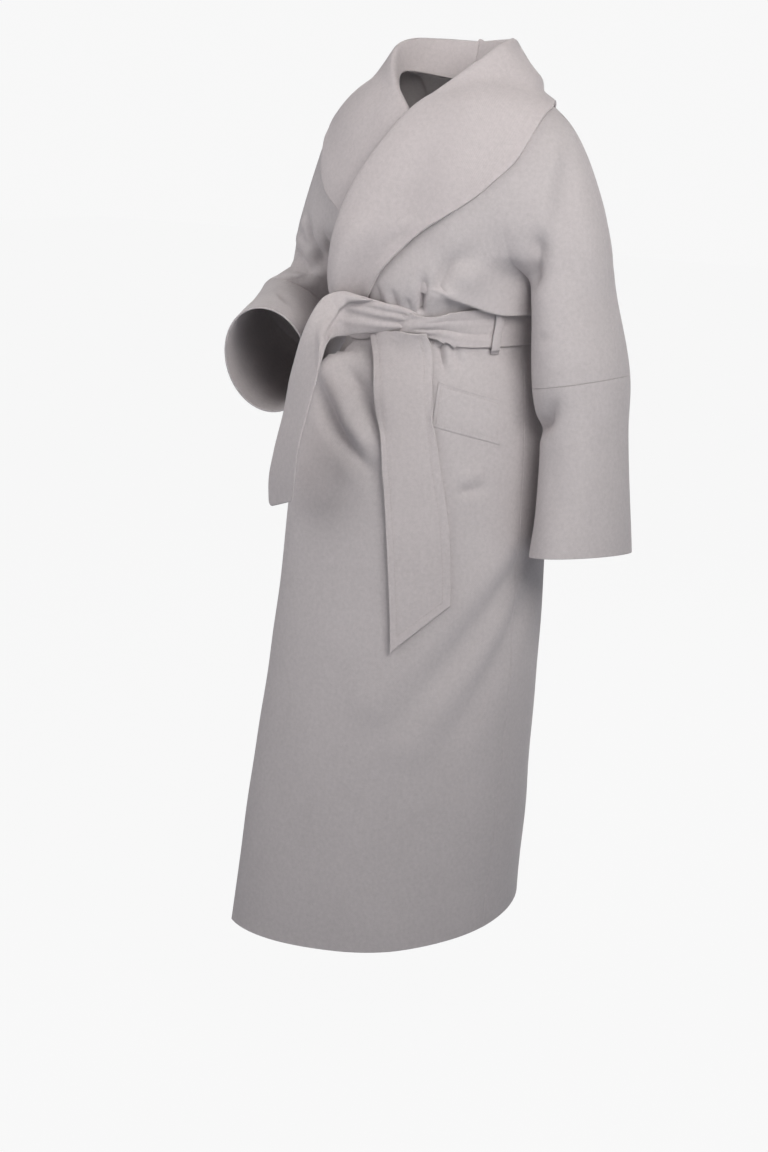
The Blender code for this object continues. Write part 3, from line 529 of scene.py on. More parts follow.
@dataclass
class ClothNet:
    """A cloth piece as points and four-sided faces with flat places, before it has a wall."""

    name: str
    points: Array = field(default_factory=lambda: np.zeros((0, 3)))
    flat: Array = field(default_factory=lambda: np.zeros((0, 2)))
    faces: list[Array] = field(default_factory=list)
    corners: list[Array] = field(default_factory=list)
    seam: Array = field(default_factory=lambda: np.zeros(0, int))
    seam_normals: Array = field(default_factory=lambda: np.zeros((0, 3)))

    def block(self, points: Array) -> Array:
        """Adds a grid of points.

        Args:
            points: Rows by columns by three.

        Returns:
            Their numbers, rows by columns.
        """
        start = len(self.points)
        rows, columns = points.shape[:2]
        self.points = np.concatenate([self.points, points.reshape(-1, 3)])
        self.flat = np.concatenate([self.flat, np.zeros((rows * columns, 2))])
        return start + np.arange(rows * columns).reshape(rows, columns)

    def weave(self, index: Array, flip: bool = False) -> None:
        """Joins a grid of point numbers with faces and lays them flat.

        Args:
            index: Point numbers, rows by columns; a tube repeats its first column.
            flip: Whether the outside is on the other side.
        """
        places = self.points[index]
        across = np.linalg.norm(np.diff(places, axis=1), axis=2).mean(axis=0)
        down = np.linalg.norm(np.diff(places, axis=0), axis=2).mean(axis=1)
        u = np.concatenate([[0.0], np.cumsum(across)])
        v = -np.concatenate([[0.0], np.cumsum(down)])
        flat = np.stack(np.meshgrid(u, v), axis=-1)
        self.flat[index] = flat
        order = (0, 1, 2, 3) if not flip else (3, 2, 1, 0)
        quads = [index[:-1, :-1], index[1:, :-1], index[1:, 1:], index[:-1, 1:]]
        places = [flat[:-1, :-1], flat[1:, :-1], flat[1:, 1:], flat[:-1, 1:]]
        self.faces.append(np.stack([quads[k] for k in order], axis=-1).reshape(-1, 4))
        self.corners.append(np.stack([places[k] for k in order], axis=2).reshape(-1, 4, 2))

    def all_faces(self) -> Array:
        """Every face as four point numbers."""
        return np.concatenate(self.faces)

    def edges(self) -> Array:
        """Every face's edges as pairs of point numbers, in the face's direction."""
        faces = self.all_faces()
        return np.concatenate([faces[:, [k, (k + 1) % 4]] for k in range(4)])

    def rim(self) -> Array:
        """The edges that only one face has."""
        edges = self.edges()
        big = len(self.points) + 1
        here = edges[:, 0] * big + edges[:, 1]
        there = edges[:, 1] * big + edges[:, 0]
        return edges[~np.isin(here, there)]

    def normals(self) -> Array:
        """Outward directions at the points; on a seam, those of both pieces together."""
        points = self.points
        faces = self.all_faces()
        a, b, c, d = (points[faces[:, k]] for k in range(4))
        face_normal = np.cross(c - a, d - b)
        total = np.zeros_like(points)
        for k in range(4):
            np.add.at(total, faces[:, k], face_normal)
        total = unit(total)
        total[self.seam] = self.seam_normals
        return total

    def relax_down(self, index: Array, share: Array, steps: int) -> None:
        """Smooths the columns of a grid of points lengthwise; its first and last rows stay.

        Args:
            index: Point numbers, rows by columns.
            share: How much each point moves in a step, 0 to 1, rows by columns.
            steps: How many times.
        """
        grid = self.points[index]
        share = share[1:-1, :, None]
        for _ in range(steps):
            grid[1:-1] += share * (0.5 * (grid[:-2] + grid[2:]) - grid[1:-1])
        self.points[index] = grid

    def relax(self, share: Array, steps: int) -> None:
        """Smooths points towards their neighbours; the rim stays.

        Args:
            share: How much each point moves in a step, 0 to 1.
            steps: How many times.
        """
        edges = self.edges()
        share = share.copy()
        share[np.unique(self.rim())] = 0.0
        count = np.zeros(len(self.points))
        np.add.at(count, edges[:, 0], 1)
        np.add.at(count, edges[:, 1], 1)
        for _ in range(steps):
            total = np.zeros_like(self.points)
            np.add.at(total, edges[:, 0], self.points[edges[:, 1]])
            np.add.at(total, edges[:, 1], self.points[edges[:, 0]])
            middle = total / np.maximum(count, 1)[:, None]
            self.points = self.points + share[:, None] * (middle - self.points)

    def crease(self, creases: tuple[Crease, ...]) -> None:
        """Presses the folds that lie on this piece into it."""
        normals = self.normals()
        moved = np.zeros(len(self.points))
        for one in creases:
            if one.only not in ("", self.name):
                continue
            line = rounded(np.array(one.line))
            reach = FOLD_REACH * one.half_width * max(1.0, one.widen)
            low, high = line.min(axis=0) - reach, line.max(axis=0) + reach
            near = np.flatnonzero(((self.points > low) & (self.points < high)).all(axis=1))
            if not len(near):
                continue
            far, share = line_distance(self.points[near], normals[near], line)
            width = one.half_width * (1.0 + (one.widen - 1.0) * share)
            strength = soft_step(share, 0.0, one.fade[0]) * (1.0 - soft_step(share, 1.0 - one.fade[1], 1.0))
            shape = one.depth * np.exp(-((far / width) ** 2))
            if one.lip:
                shape = shape + one.lip * np.exp(-(((far - LIP_AT * width) / width) ** 2))
            moved[near] += strength * shape
        self.points = self.points + normals * moved[:, None]

    def ripple(self, height: float, length: float, seed: int) -> None:
        """Gives the cloth a slight unevenness.

        Args:
            height: How far it stands in and out.
            length: The usual distance between two swells.
            seed: Chooses the swells.
        """
        chance = np.random.default_rng(seed)
        moved = np.zeros(len(self.points))
        for _ in range(SWELLS):
            way = unit(chance.normal(size=3))
            pace = 2 * math.pi / (length * chance.uniform(*SWELL_RANGE))
            moved += np.sin(self.points @ way * pace + chance.uniform(0, 2 * math.pi))
        self.points = self.points + self.normals() * (height / math.sqrt(SWELLS) * moved)[:, None]


def sew(first: ClothNet, second: ClothNet, reach: float = 0.0025) -> None:
    """Joins two pieces where their rims meet: places and outward directions become the same.

    Args:
        first: One piece.
        second: The other.
        reach: How far apart two rim points may be to count as the same.
    """
    one, other = np.unique(first.rim()), np.unique(second.rim())
    tree = KDTree(len(other))
    for k, i in enumerate(other):
        tree.insert(Vector(second.points[i]), k)
    tree.balance()
    found = [tree.find(Vector(first.points[i])) for i in one]
    mine = np.array([i for i, (_, _, far) in zip(one, found) if far < reach], int)
    theirs = np.array([other[k] for _, k, far in found if far < reach], int)
    middle = 0.5 * (first.points[mine] + second.points[theirs])
    first.points[mine] = middle
    second.points[theirs] = middle
    shared = unit(first.normals()[mine] + second.normals()[theirs])
    for net, index in ((first, mine), (second, theirs)):
        net.seam = np.concatenate([net.seam, index])
        net.seam_normals = np.concatenate([net.seam_normals, shared])


@dataclass
class ClothShell:
    """A closed shell: the cloth's two faces and a rim between them, rounded by edge."""

    net: ClothNet
    wall: float
    edge: float = 0.0009
    seam_gap: float = 0.0001
    rim_steps: int = 4

    def outside(self) -> tuple[Array, Array]:
        """The outer face's points and faces."""
        return self.net.points + self.net.normals() * self.wall, self.net.all_faces()

    def _rim_out(self, normals: Array, rim: Array) -> tuple[Array, Array]:
        """The points on the rim and, for each point, the way out of the piece along its face."""
        points = self.net.points
        way = np.zeros_like(points)
        sideways = np.cross(unit(points[rim[:, 1]] - points[rim[:, 0]]), normals[rim[:, 0]])
        np.add.at(way, rim[:, 0], sideways)
        np.add.at(way, rim[:, 1], sideways)
        on_rim = np.unique(rim)
        way[on_rim] = unit(way[on_rim])
        return on_rim, way

    def build(self) -> bpy.types.Object:
        """Makes the shell's mesh object, with its flat places as a UV map."""
        net, half = self.net, self.wall / 2
        edge = min(self.edge, half)
        square = 1.0 if edge == half else 0.4
        normals = net.normals()
        rim = net.rim()
        on_rim, way = self._rim_out(normals, rim)
        base = net.points.copy()
        base[on_rim] -= way[on_rim] * (edge + self.seam_gap)
        count = len(base)
        rows = [base + normals * self.wall, base]
        shading = [normals, -normals]
        number = np.full(count, -1)
        number[on_rim] = np.arange(len(on_rim))
        rings = [on_rim]
        middle = base[on_rim] + normals[on_rim] * half
        for k in range(1, self.rim_steps):
            across, out = math.cos(math.pi * k / self.rim_steps), math.sin(math.pi * k / self.rim_steps)
            high = half * math.copysign(abs(across) ** square, across)
            rings.append(2 * count + (k - 1) * len(on_rim) + np.arange(len(on_rim)))
            rows.append(middle + normals[on_rim] * high + way[on_rim] * edge * out**square)
            shading.append(unit(normals[on_rim] * across + way[on_rim] * out))
        rings.append(count + on_rim)
        faces = net.all_faces()
        flat = np.concatenate(net.corners)
        all_faces = [faces, faces[:, ::-1] + count]
        all_flat = [flat, flat[:, ::-1]]
        a, b = number[rim[:, 0]], number[rim[:, 1]]
        rim_flat = net.flat[np.stack([rim[:, 1], rim[:, 0], rim[:, 0], rim[:, 1]], axis=1)]
        for near, far in zip(rings[:-1], rings[1:]):
            all_faces.append(np.stack([near[b], near[a], far[a], far[b]], axis=1))
            all_flat.append(rim_flat)
        return mesh_object(
            "wool_" + net.name,
            np.concatenate(rows),
            np.concatenate(all_faces),
            np.concatenate(all_flat),
            np.concatenate(shading),
        )


def mesh_object(
    name: str,
    points: Array,
    faces: Array,
    flat: Array | None = None,
    normals: Array | None = None,
) -> bpy.types.Object:
    """A smooth mesh object from four-sided faces.

    Args:
        name: The object's name.
        points: Points, one a row.
        faces: Four point numbers a row.
        flat: The corners' flat places in metres, faces by four by two.
        normals: The points' shading directions, if they are not the faces' own.

    Returns:
        The linked object.
    """
    mesh = bpy.data.meshes.new(name)
    mesh.from_pydata(points.tolist(), [], faces.tolist())
    if flat is not None:
        layer = mesh.uv_layers.new(name="cloth")
        layer.data.foreach_set("uv", flat.reshape(-1).astype(np.float32))
    mesh.shade_smooth()
    if normals is not None:
        mesh.normals_split_custom_set_from_vertices(normals.tolist())
    made = bpy.data.objects.new(name, mesh)
    bpy.context.scene.collection.objects.link(made)
    return made


class Surface:
    """A search tree over the outsides of pieces, for laying one on another."""

    def __init__(self, outsides: list[tuple[Array, Array]]) -> None:
        """Builds the tree from points and faces."""
        points: list[Vector] = []
        faces: list[list[int]] = []
        for some_points, some_faces in outsides:
            start = len(points)
            points += [Vector(p) for p in some_points]
            faces += (some_faces + start).tolist()
        self.tree = BVHTree.FromPolygons(points, faces)

    def keep_clear(self, points: Array, least: Array, most: Array | None = None) -> Array:
        """Moves points out until they stand clear of the surface.

        Args:
            points: Points, one a row.
            least: The least distance for each.
            most: The greatest distance for each, if there is one.

        Returns:
            The moved points.
        """
        moved = points.copy()
        for i, point in enumerate(points):
            spot = Vector(point)
            near, normal, _, _ = self.tree.find_nearest(spot)
            apart = (spot - near).dot(normal)
            wanted = max(apart, least[i])
            if most is not None:
                wanted = min(wanted, max(most[i], least[i]))
            moved[i] = np.array(spot + normal * (wanted - apart))
        return moved

    def from_front(self, x: float, z: float, stand: float) -> Array:
        """The point of the surface seen from the front at X and Z, moved out."""
        spot, normal, _, _ = self.tree.ray_cast(Vector((x, -0.7, z)), Vector((0, 1, 0)))
        return np.array(spot + normal * stand)


# Finishes


def set_values(node: bpy.types.Node, values: dict[str, object]) -> None:
    """Sets values on a shader node's own sockets, by their names."""
    for name, value in values.items():
        node.inputs[name].default_value = value


def add_node(tree: bpy.types.NodeTree, kind: str, **values: object) -> bpy.types.Node:
    """Adds a shader node.

    Args:
        tree: Where it goes.
        kind: Its type, without the word that all shader nodes start with.
        values: The values of its sockets, by their names.

    Returns:
        The node.
    """
    node = tree.nodes.new("ShaderNode" + kind)
    set_values(node, values)
    return node


class NodeGroups:
    """Shader groups that several finishes share, each made once."""

    def __init__(self) -> None:
        """Starts with no group made."""
        self._made: dict[str, bpy.types.NodeTree] = {}

    @staticmethod
    def _sockets(tree: bpy.types.NodeTree, ins: dict[str, object], outs: dict[str, str]) -> None:
        """Adds the group's named inputs with their values, and its outputs."""
        for name, value in ins.items():
            kind = "NodeSocketColor" if isinstance(value, tuple) else "NodeSocketFloat"
            socket = tree.interface.new_socket(name, in_out="INPUT", socket_type=kind)
            socket.default_value = value
        for name, kind in outs.items():
            tree.interface.new_socket(name, in_out="OUTPUT", socket_type=kind)

    def heather(self) -> bpy.types.NodeTree:
        """Mixed fibres: fine specks of lighter and darker wool and slow changes of tone."""
        if "heather" in self._made:
            return self._made["heather"]
        tree = bpy.data.node_groups.new("wool_heather", "ShaderNodeTree")
        ins = {"Colour": (0.5, 0.5, 0.5, 1.0), "Speck": 0.10, "Cloud": 0.05}
        self._sockets(tree, ins, {"Colour": "NodeSocketColor", "Roughness": "NodeSocketFloat"})
        nodes, links = tree.nodes, tree.links
        start, end = nodes.new("NodeGroupInput"), nodes.new("NodeGroupOutput")
        place = add_node(tree, "TexCoord")
        speck = add_node(tree, "TexNoise", Scale=620.0, Detail=3.0, Roughness=0.7)
        cloud = add_node(tree, "TexNoise", Scale=16.0, Detail=4.0)
        fleck = add_node(tree, "TexNoise", Scale=190.0, Detail=2.0)
        for texture in (speck, cloud, fleck):
            links.new(place.outputs["Object"], texture.inputs["Vector"])
        tone = self._math(tree, "ADD", speck.outputs["Fac"], fleck.outputs["Fac"])
        tone = self._math(tree, "SUBTRACT", tone, 1.0)
        tone = self._math(tree, "MULTIPLY", tone, start.outputs["Speck"])
        slow = self._math(tree, "SUBTRACT", cloud.outputs["Fac"], 0.5)
        slow = self._math(tree, "MULTIPLY", slow, start.outputs["Cloud"])
        value = self._math(tree, "ADD", self._math(tree, "ADD", tone, slow), 1.0)
        shade = add_node(tree, "HueSaturation")
        links.new(start.outputs["Colour"], shade.inputs["Color"])
        links.new(value, shade.inputs["Value"])
        links.new(shade.outputs["Color"], end.inputs["Colour"])
        rough = self._math(tree, "MULTIPLY", fleck.outputs["Fac"], 0.14)
        links.new(self._math(tree, "ADD", rough, 0.84), end.inputs["Roughness"])
        self._made["heather"] = tree
        return tree

    def nap(self) -> bpy.types.NodeTree:
        """The brushed surface: a faint twill under short fibres that lie one way."""
        if "nap" in self._made:
            return self._made["nap"]
        tree = bpy.data.node_groups.new("wool_nap", "ShaderNodeTree")
        ins = {"Twill": 0.25, "Fibre": 0.6, "Pill": 0.35}
        self._sockets(tree, ins, {"Height": "NodeSocketFloat"})
        nodes, links = tree.nodes, tree.links
        start, end = nodes.new("NodeGroupInput"), nodes.new("NodeGroupOutput")
        place = add_node(tree, "TexCoord")
        twill = add_node(tree, "TexWave", Scale=260.0, Distortion=1.6, Detail=1.0)
        twill.wave_type = "BANDS"
        twill.bands_direction = "DIAGONAL"
        links.new(place.outputs["UV"], twill.inputs["Vector"])
        comb = add_node(tree, "Mapping", Scale=(1500.0, 260.0, 1.0), Rotation=(0.0, 0.0, math.radians(12)))
        links.new(place.outputs["UV"], comb.inputs["Vector"])
        fibre = add_node(tree, "TexNoise", Scale=1.0, Detail=3.0)
        links.new(comb.outputs["Vector"], fibre.inputs["Vector"])
        pill = add_node(tree, "TexNoise", Scale=230.0, Detail=3.0)
        links.new(place.outputs["Object"], pill.inputs["Vector"])
        height = self._math(tree, "MULTIPLY", twill.outputs["Fac"], start.outputs["Twill"])
        for source, amount in ((fibre, "Fibre"), (pill, "Pill")):
            part = self._math(tree, "MULTIPLY", source.outputs["Fac"], start.outputs[amount])
            height = self._math(tree, "ADD", height, part)
        links.new(height, end.inputs["Height"])
        self._made["nap"] = tree
        return tree

    @staticmethod
    def _math(tree: bpy.types.NodeTree, what: str, a: object, b: object) -> bpy.types.NodeSocket:
        """A math node on two sockets or numbers; returns its result."""
        node = add_node(tree, "Math")
        node.operation = what
        for socket, value in zip(node.inputs, (a, b)):
            if isinstance(value, (int, float)):
                socket.default_value = value
            else:
                tree.links.new(value, socket)
        return node.outputs[0]


@dataclass(frozen=True)
class WoolFinish:
    """A wool finish: its colour, its mixed fibres and its nap."""

    name: str
    colour: tuple[float, float, float]
    speck: float = 0.22
    cloud: float = 0.08
    twill: float = 0.22
    fibre: float = 0.6
    pill: float = 0.35
    bump: float = 0.55
    sheen: float = 0.28

    def material(self, groups: NodeGroups) -> bpy.types.Material:
        """Makes the finish as a material.

        Args:
            groups: The shared shader groups.

        Returns:
            The material.
        """
        made = bpy.data.materials.new(self.name)
        made.use_nodes = True
        tree, links = made.node_tree, made.node_tree.links
        shader = tree.nodes["Principled BSDF"]
        set_values(shader, {"Metallic": 0.0, "Specular IOR Level": 0.18, "Sheen Weight": self.sheen})
        set_values(shader, {"Sheen Roughness": 0.45, "Sheen Tint": (0.95, 0.92, 0.92, 1.0)})
        heather = add_node(tree, "Group")
        heather.node_tree = groups.heather()
        set_values(heather, {"Colour": (*self.colour, 1.0), "Speck": self.speck, "Cloud": self.cloud})
        links.new(heather.outputs["Colour"], shader.inputs["Base Color"])
        links.new(heather.outputs["Roughness"], shader.inputs["Roughness"])
        nap = add_node(tree, "Group")
        nap.node_tree = groups.nap()
        set_values(nap, {"Twill": self.twill, "Fibre": self.fibre, "Pill": self.pill})
        bump = add_node(tree, "Bump", Strength=self.bump, Distance=0.0006)
        links.new(nap.outputs["Height"], bump.inputs["Height"])
        links.new(bump.outputs["Normal"], shader.inputs["Normal"])
        return made


COAT_FINISH = WoolFinish("coat_wool", (0.525, 0.487, 0.488))
COLLAR_FINISH = WoolFinish("collar_wool", (0.540, 0.494, 0.494), twill=0.18)
BELT_FINISH = WoolFinish("belt_wool", (0.530, 0.488, 0.488), twill=0.26)
THREAD_FINISH = WoolFinish(
    "thread", (0.50, 0.455, 0.45), speck=0.05, twill=0.0, fibre=0.3, pill=0.0, sheen=0.1
)


@dataclass
class Dresser:
    """Puts pieces on the frame with their finish, in place of their solids."""

    groups: NodeGroups = field(default_factory=NodeGroups)
    materials: dict[str, bpy.types.Material] = field(default_factory=dict)

    def finish(self, piece: bpy.types.Object, look: WoolFinish) -> None:
        """Gives a piece its material, made once."""
        if look.name not in self.materials:
            self.materials[look.name] = look.material(self.groups)
        piece.data.materials.append(self.materials[look.name])

    def put_on(
        self,
        piece: bpy.types.Object,
        nodes: tuple[str, ...],
        slot: Slot,
        look: WoolFinish,
    ) -> bpy.types.Object:
        """Puts one piece on the frame.

        Args:
            piece: The piece.
            nodes: The solids that it stands for.
            slot: Not used.
            look: Its finish.

        Returns:
            The piece.
        """
        self.finish(piece, look)
        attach(piece, "root")
        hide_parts(*nodes)
        log.info("%s: %d faces", piece.name, len(piece.data.polygons))
        return piece

    def sew_on(self, piece: bpy.types.Object, slot: Slot) -> bpy.types.Object:
        """Puts a row of stitches on the frame."""
        self.finish(piece, THREAD_FINISH)
        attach(piece, "root")
        log.info("%s: %d faces", piece.name, len(piece.data.polygons))
        return piece


# The pieces


@dataclass(frozen=True)
class BodyCrease:
    """A fold of the body between two places, each an angle from the centre front and a height."""

    from_deg: float
    from_z: float
    to_deg: float
    to_z: float
    half_width: float
    depth: float
    fade: tuple[float, float] = (0.05, 0.7)

    def crease(self, form: CoatForm) -> Crease:
        """The fold as a line on the coat's form."""
        keys = np.linspace(0, len(form.body) - 1, 200)
        heights = form.body_points(0.0, keys)[:, 2]
        line = []
        for share in (0.0, 0.5, 1.0):
            angle = math.radians(self.from_deg + (self.to_deg - self.from_deg) * share)
            z = self.from_z + (self.to_z - self.from_z) * share
            spot = form.body_points(angle, np.interp(-z, -heights, keys))
            line.append((float(spot[0]), float(spot[1]), z))
        return Crease(tuple(line), self.half_width, self.depth, fade=self.fade)


CREASES: tuple[Crease, ...] = (
    # the bloused cloth over the belt
    Crease(
        ((0.084, -0.151, -0.300), (0.092, -0.143, -0.272), (0.106, -0.130, -0.252),
         (0.136, -0.091, -0.235)),
        0.0098, -0.0110, fade=(0.14, 0.65), widen=1.7,
    ),
    Crease(((0.100, -0.140, -0.282), (0.124, -0.116, -0.268), (0.148, -0.078, -0.262)), 0.0190, 0.0075),
    Crease(
        ((0.066, -0.157, -0.262), (0.066, -0.158, -0.290), (0.060, -0.150, -0.312),
         (0.056, -0.142, -0.327)),
        0.0080, -0.0150, 0.0010, (0.60, 0.10), 0.7,
    ),
    Crease(
        ((0.018, -0.163, -0.290), (0.022, -0.150, -0.312), (0.029, -0.143, -0.330)),
        0.0055, -0.0052, 0.0010, (0.5, 0.05),
    ),
    Crease(((-0.008, -0.166, -0.284), (-0.001, -0.149, -0.325)), 0.0060, -0.0038, 0.0008, (0.5, 0.05)),
    Crease(((0.040, -0.155, -0.300), (0.044, -0.145, -0.330)), 0.0050, -0.0042, 0.0010, (0.5, 0.05)),
    # the left upper sleeve
    Crease(
        ((0.190, -0.070, -0.200), (0.202, -0.072, -0.230), (0.193, -0.067, -0.262),
         (0.175, -0.053, -0.293)),
        0.0125, -0.0150, fade=(0.35, 0.32), widen=1.0,
    ),
    Crease(
        ((0.199, -0.071, -0.356), (0.224, -0.081, -0.351), (0.241, -0.076, -0.343)),
        0.0060, -0.0022, 0.0006,
    ),
    Crease(
        ((0.192, -0.025, -0.073), (0.205, -0.058, -0.139), (0.205, -0.070, -0.192),
         (0.208, -0.070, -0.260)),
        0.0170, 0.0060,
    ),
    Crease(
        ((0.203, -0.019, -0.086), (0.217, -0.046, -0.139), (0.224, -0.061, -0.191),
         (0.229, -0.069, -0.264)),
        0.0140, -0.0068,
    ),
    Crease(((0.232, -0.017, -0.138), (0.254, -0.035, -0.217), (0.264, -0.033, -0.297)), 0.0180, 0.0025),
    # the right upper sleeve and the crook of the right elbow
    Crease(
        ((-0.190, -0.071, -0.195), (-0.179, -0.070, -0.243), (-0.168, -0.068, -0.290)),
        0.0085, -0.0100, 0.0022, (0.35, 0.25),
    ),
    Crease(
        ((-0.248, -0.060, -0.254), (-0.210, -0.072, -0.277), (-0.176, -0.077, -0.299)),
        0.0090, -0.0115, 0.0030, (0.35, 0.25),
    ),
    Crease(((-0.222, -0.065, -0.222), (-0.190, -0.073, -0.264)), 0.0090, -0.0075, 0.0020, (0.35, 0.3)),
    Crease(
        ((-0.205, -0.128, -0.316), (-0.158, -0.162, -0.327), (-0.138, -0.165, -0.340)),
        0.0085, -0.0050, 0.0010,
    ),
    Crease(
        ((-0.245, -0.121, -0.320), (-0.170, -0.192, -0.321), (-0.126, -0.219, -0.335)),
        0.0110, -0.0032, 0.0008,
    ),
    # the left lower sleeve
    Crease(
        ((0.252, -0.079, -0.414), (0.241, -0.081, -0.438), (0.226, -0.073, -0.466),
         (0.212, -0.050, -0.478), (0.206, -0.015, -0.482)),
        0.0135, -0.0170, fade=(0.5, 0.3), widen=0.8,
    ),
    Crease(((0.240, -0.078, -0.470), (0.263, -0.098, -0.640)), 0.0160, -0.0028),
    Crease(((0.276, -0.060, -0.420), (0.280, -0.064, -0.513), (0.299, -0.067, -0.620)), 0.0190, 0.0028),
    # the skirt
    Crease(
        ((0.181, 0.000, -0.640), (0.183, -0.060, -0.680), (0.139, -0.164, -0.812),
         (0.060, -0.228, -0.905)),
        0.0160, -0.0092, 0.0020, (0.3, 0.55), 1.7,
    ),
    Crease(
        ((0.188, 0.000, -0.690), (0.190, -0.050, -0.735), (0.152, -0.152, -0.894),
         (0.100, -0.205, -0.965)),
        0.0160, -0.0082, 0.0018, (0.3, 0.55), 1.7,
    ),
    Crease(
        ((-0.078, -0.146, -0.370), (-0.088, -0.163, -0.441), (-0.102, -0.180, -0.514),
         (-0.115, -0.195, -0.603), (-0.127, -0.210, -0.717), (-0.132, -0.216, -0.780)),
        0.0460, 0.0185, fade=(0.11, 0.66), widen=1.1, only="front_left",
    ),
    Crease(
        ((-0.065, -0.157, -0.403), (-0.030, -0.175, -0.426), (-0.004, -0.181, -0.451),
         (0.018, -0.185, -0.480), (0.033, -0.189, -0.511)),
        0.0100, -0.0080, 0.0012, (0.25, 0.35), 1.6,
    ),
    Crease(
        ((-0.086, -0.140, -0.400), (-0.048, -0.183, -0.445), (-0.022, -0.195, -0.484),
         (0.008, -0.197, -0.513), (0.035, -0.191, -0.530)),
        0.0150, 0.0080, fade=(0.25, 0.4), widen=1.0,
    ),
    Crease(
        ((-0.084, -0.158, -0.416), (-0.066, -0.180, -0.458), (-0.040, -0.194, -0.494),
         (-0.007, -0.202, -0.523), (0.022, -0.197, -0.543), (0.047, -0.192, -0.558)),
        0.0125, -0.0125, 0.0012, (0.35, 0.35), 1.2,
    ),
    Crease(
        ((0.120, -0.146, -0.547), (0.136, -0.129, -0.548), (0.150, -0.108, -0.540)),
        0.0100, 0.0030, fade=(0.4, 0.4),
    ),
    Crease(
        ((0.124, -0.146, -0.567), (0.139, -0.128, -0.566), (0.160, -0.095, -0.556)),
        0.0070, -0.0042, 0.0006, (0.3, 0.5),
    ),
    Crease(
        ((0.078, -0.126, -0.366), (0.084, -0.128, -0.384), (0.096, -0.130, -0.415)),
        0.0060, -0.0070, 0.0012, (0.02, 0.7),
    ),
    Crease(
        ((0.094, -0.118, -0.366), (0.107, -0.116, -0.395), (0.121, -0.110, -0.411)),
        0.0060, -0.0036, 0.0012, (0.02, 0.7),
    ),
)
HIDDEN_CREASES: tuple[BodyCrease, ...] = (
    BodyCrease(112, -0.335, 108, -0.262, 0.011, -0.0022),
    BodyCrease(138, -0.335, 142, -0.240, 0.013, -0.0026),
    BodyCrease(163, -0.335, 160, -0.268, 0.008, -0.0040),
    BodyCrease(186, -0.335, 190, -0.245, 0.011, -0.0050),
    BodyCrease(214, -0.335, 209, -0.262, 0.009, -0.0048),
    BodyCrease(241, -0.335, 246, -0.255, 0.010, -0.0050),
    BodyCrease(124, -0.365, 128, -0.455, 0.009, -0.0045),
    BodyCrease(152, -0.365, 149, -0.490, 0.012, -0.0050),
    BodyCrease(178, -0.365, 181, -0.440, 0.008, -0.0040),
    BodyCrease(205, -0.365, 210, -0.500, 0.012, -0.0052),
    BodyCrease(236, -0.365, 232, -0.450, 0.009, -0.0045),
    BodyCrease(-62, -0.365, -50, -0.520, 0.013, -0.0050),
    BodyCrease(-84, -0.375, -88, -0.470, 0.010, -0.0042),
    BodyCrease(168, -0.520, 172, -1.150, 0.026, -0.0050, (0.3, 0.3)),
    BodyCrease(204, -0.560, 206, -1.200, 0.028, -0.0052, (0.3, 0.3)),
    BodyCrease(128, -0.640, 120, -1.100, 0.026, -0.0045, (0.3, 0.4)),
    BodyCrease(-66, -0.700, -48, -0.960, 0.024, -0.0045, (0.3, 0.5)),
)


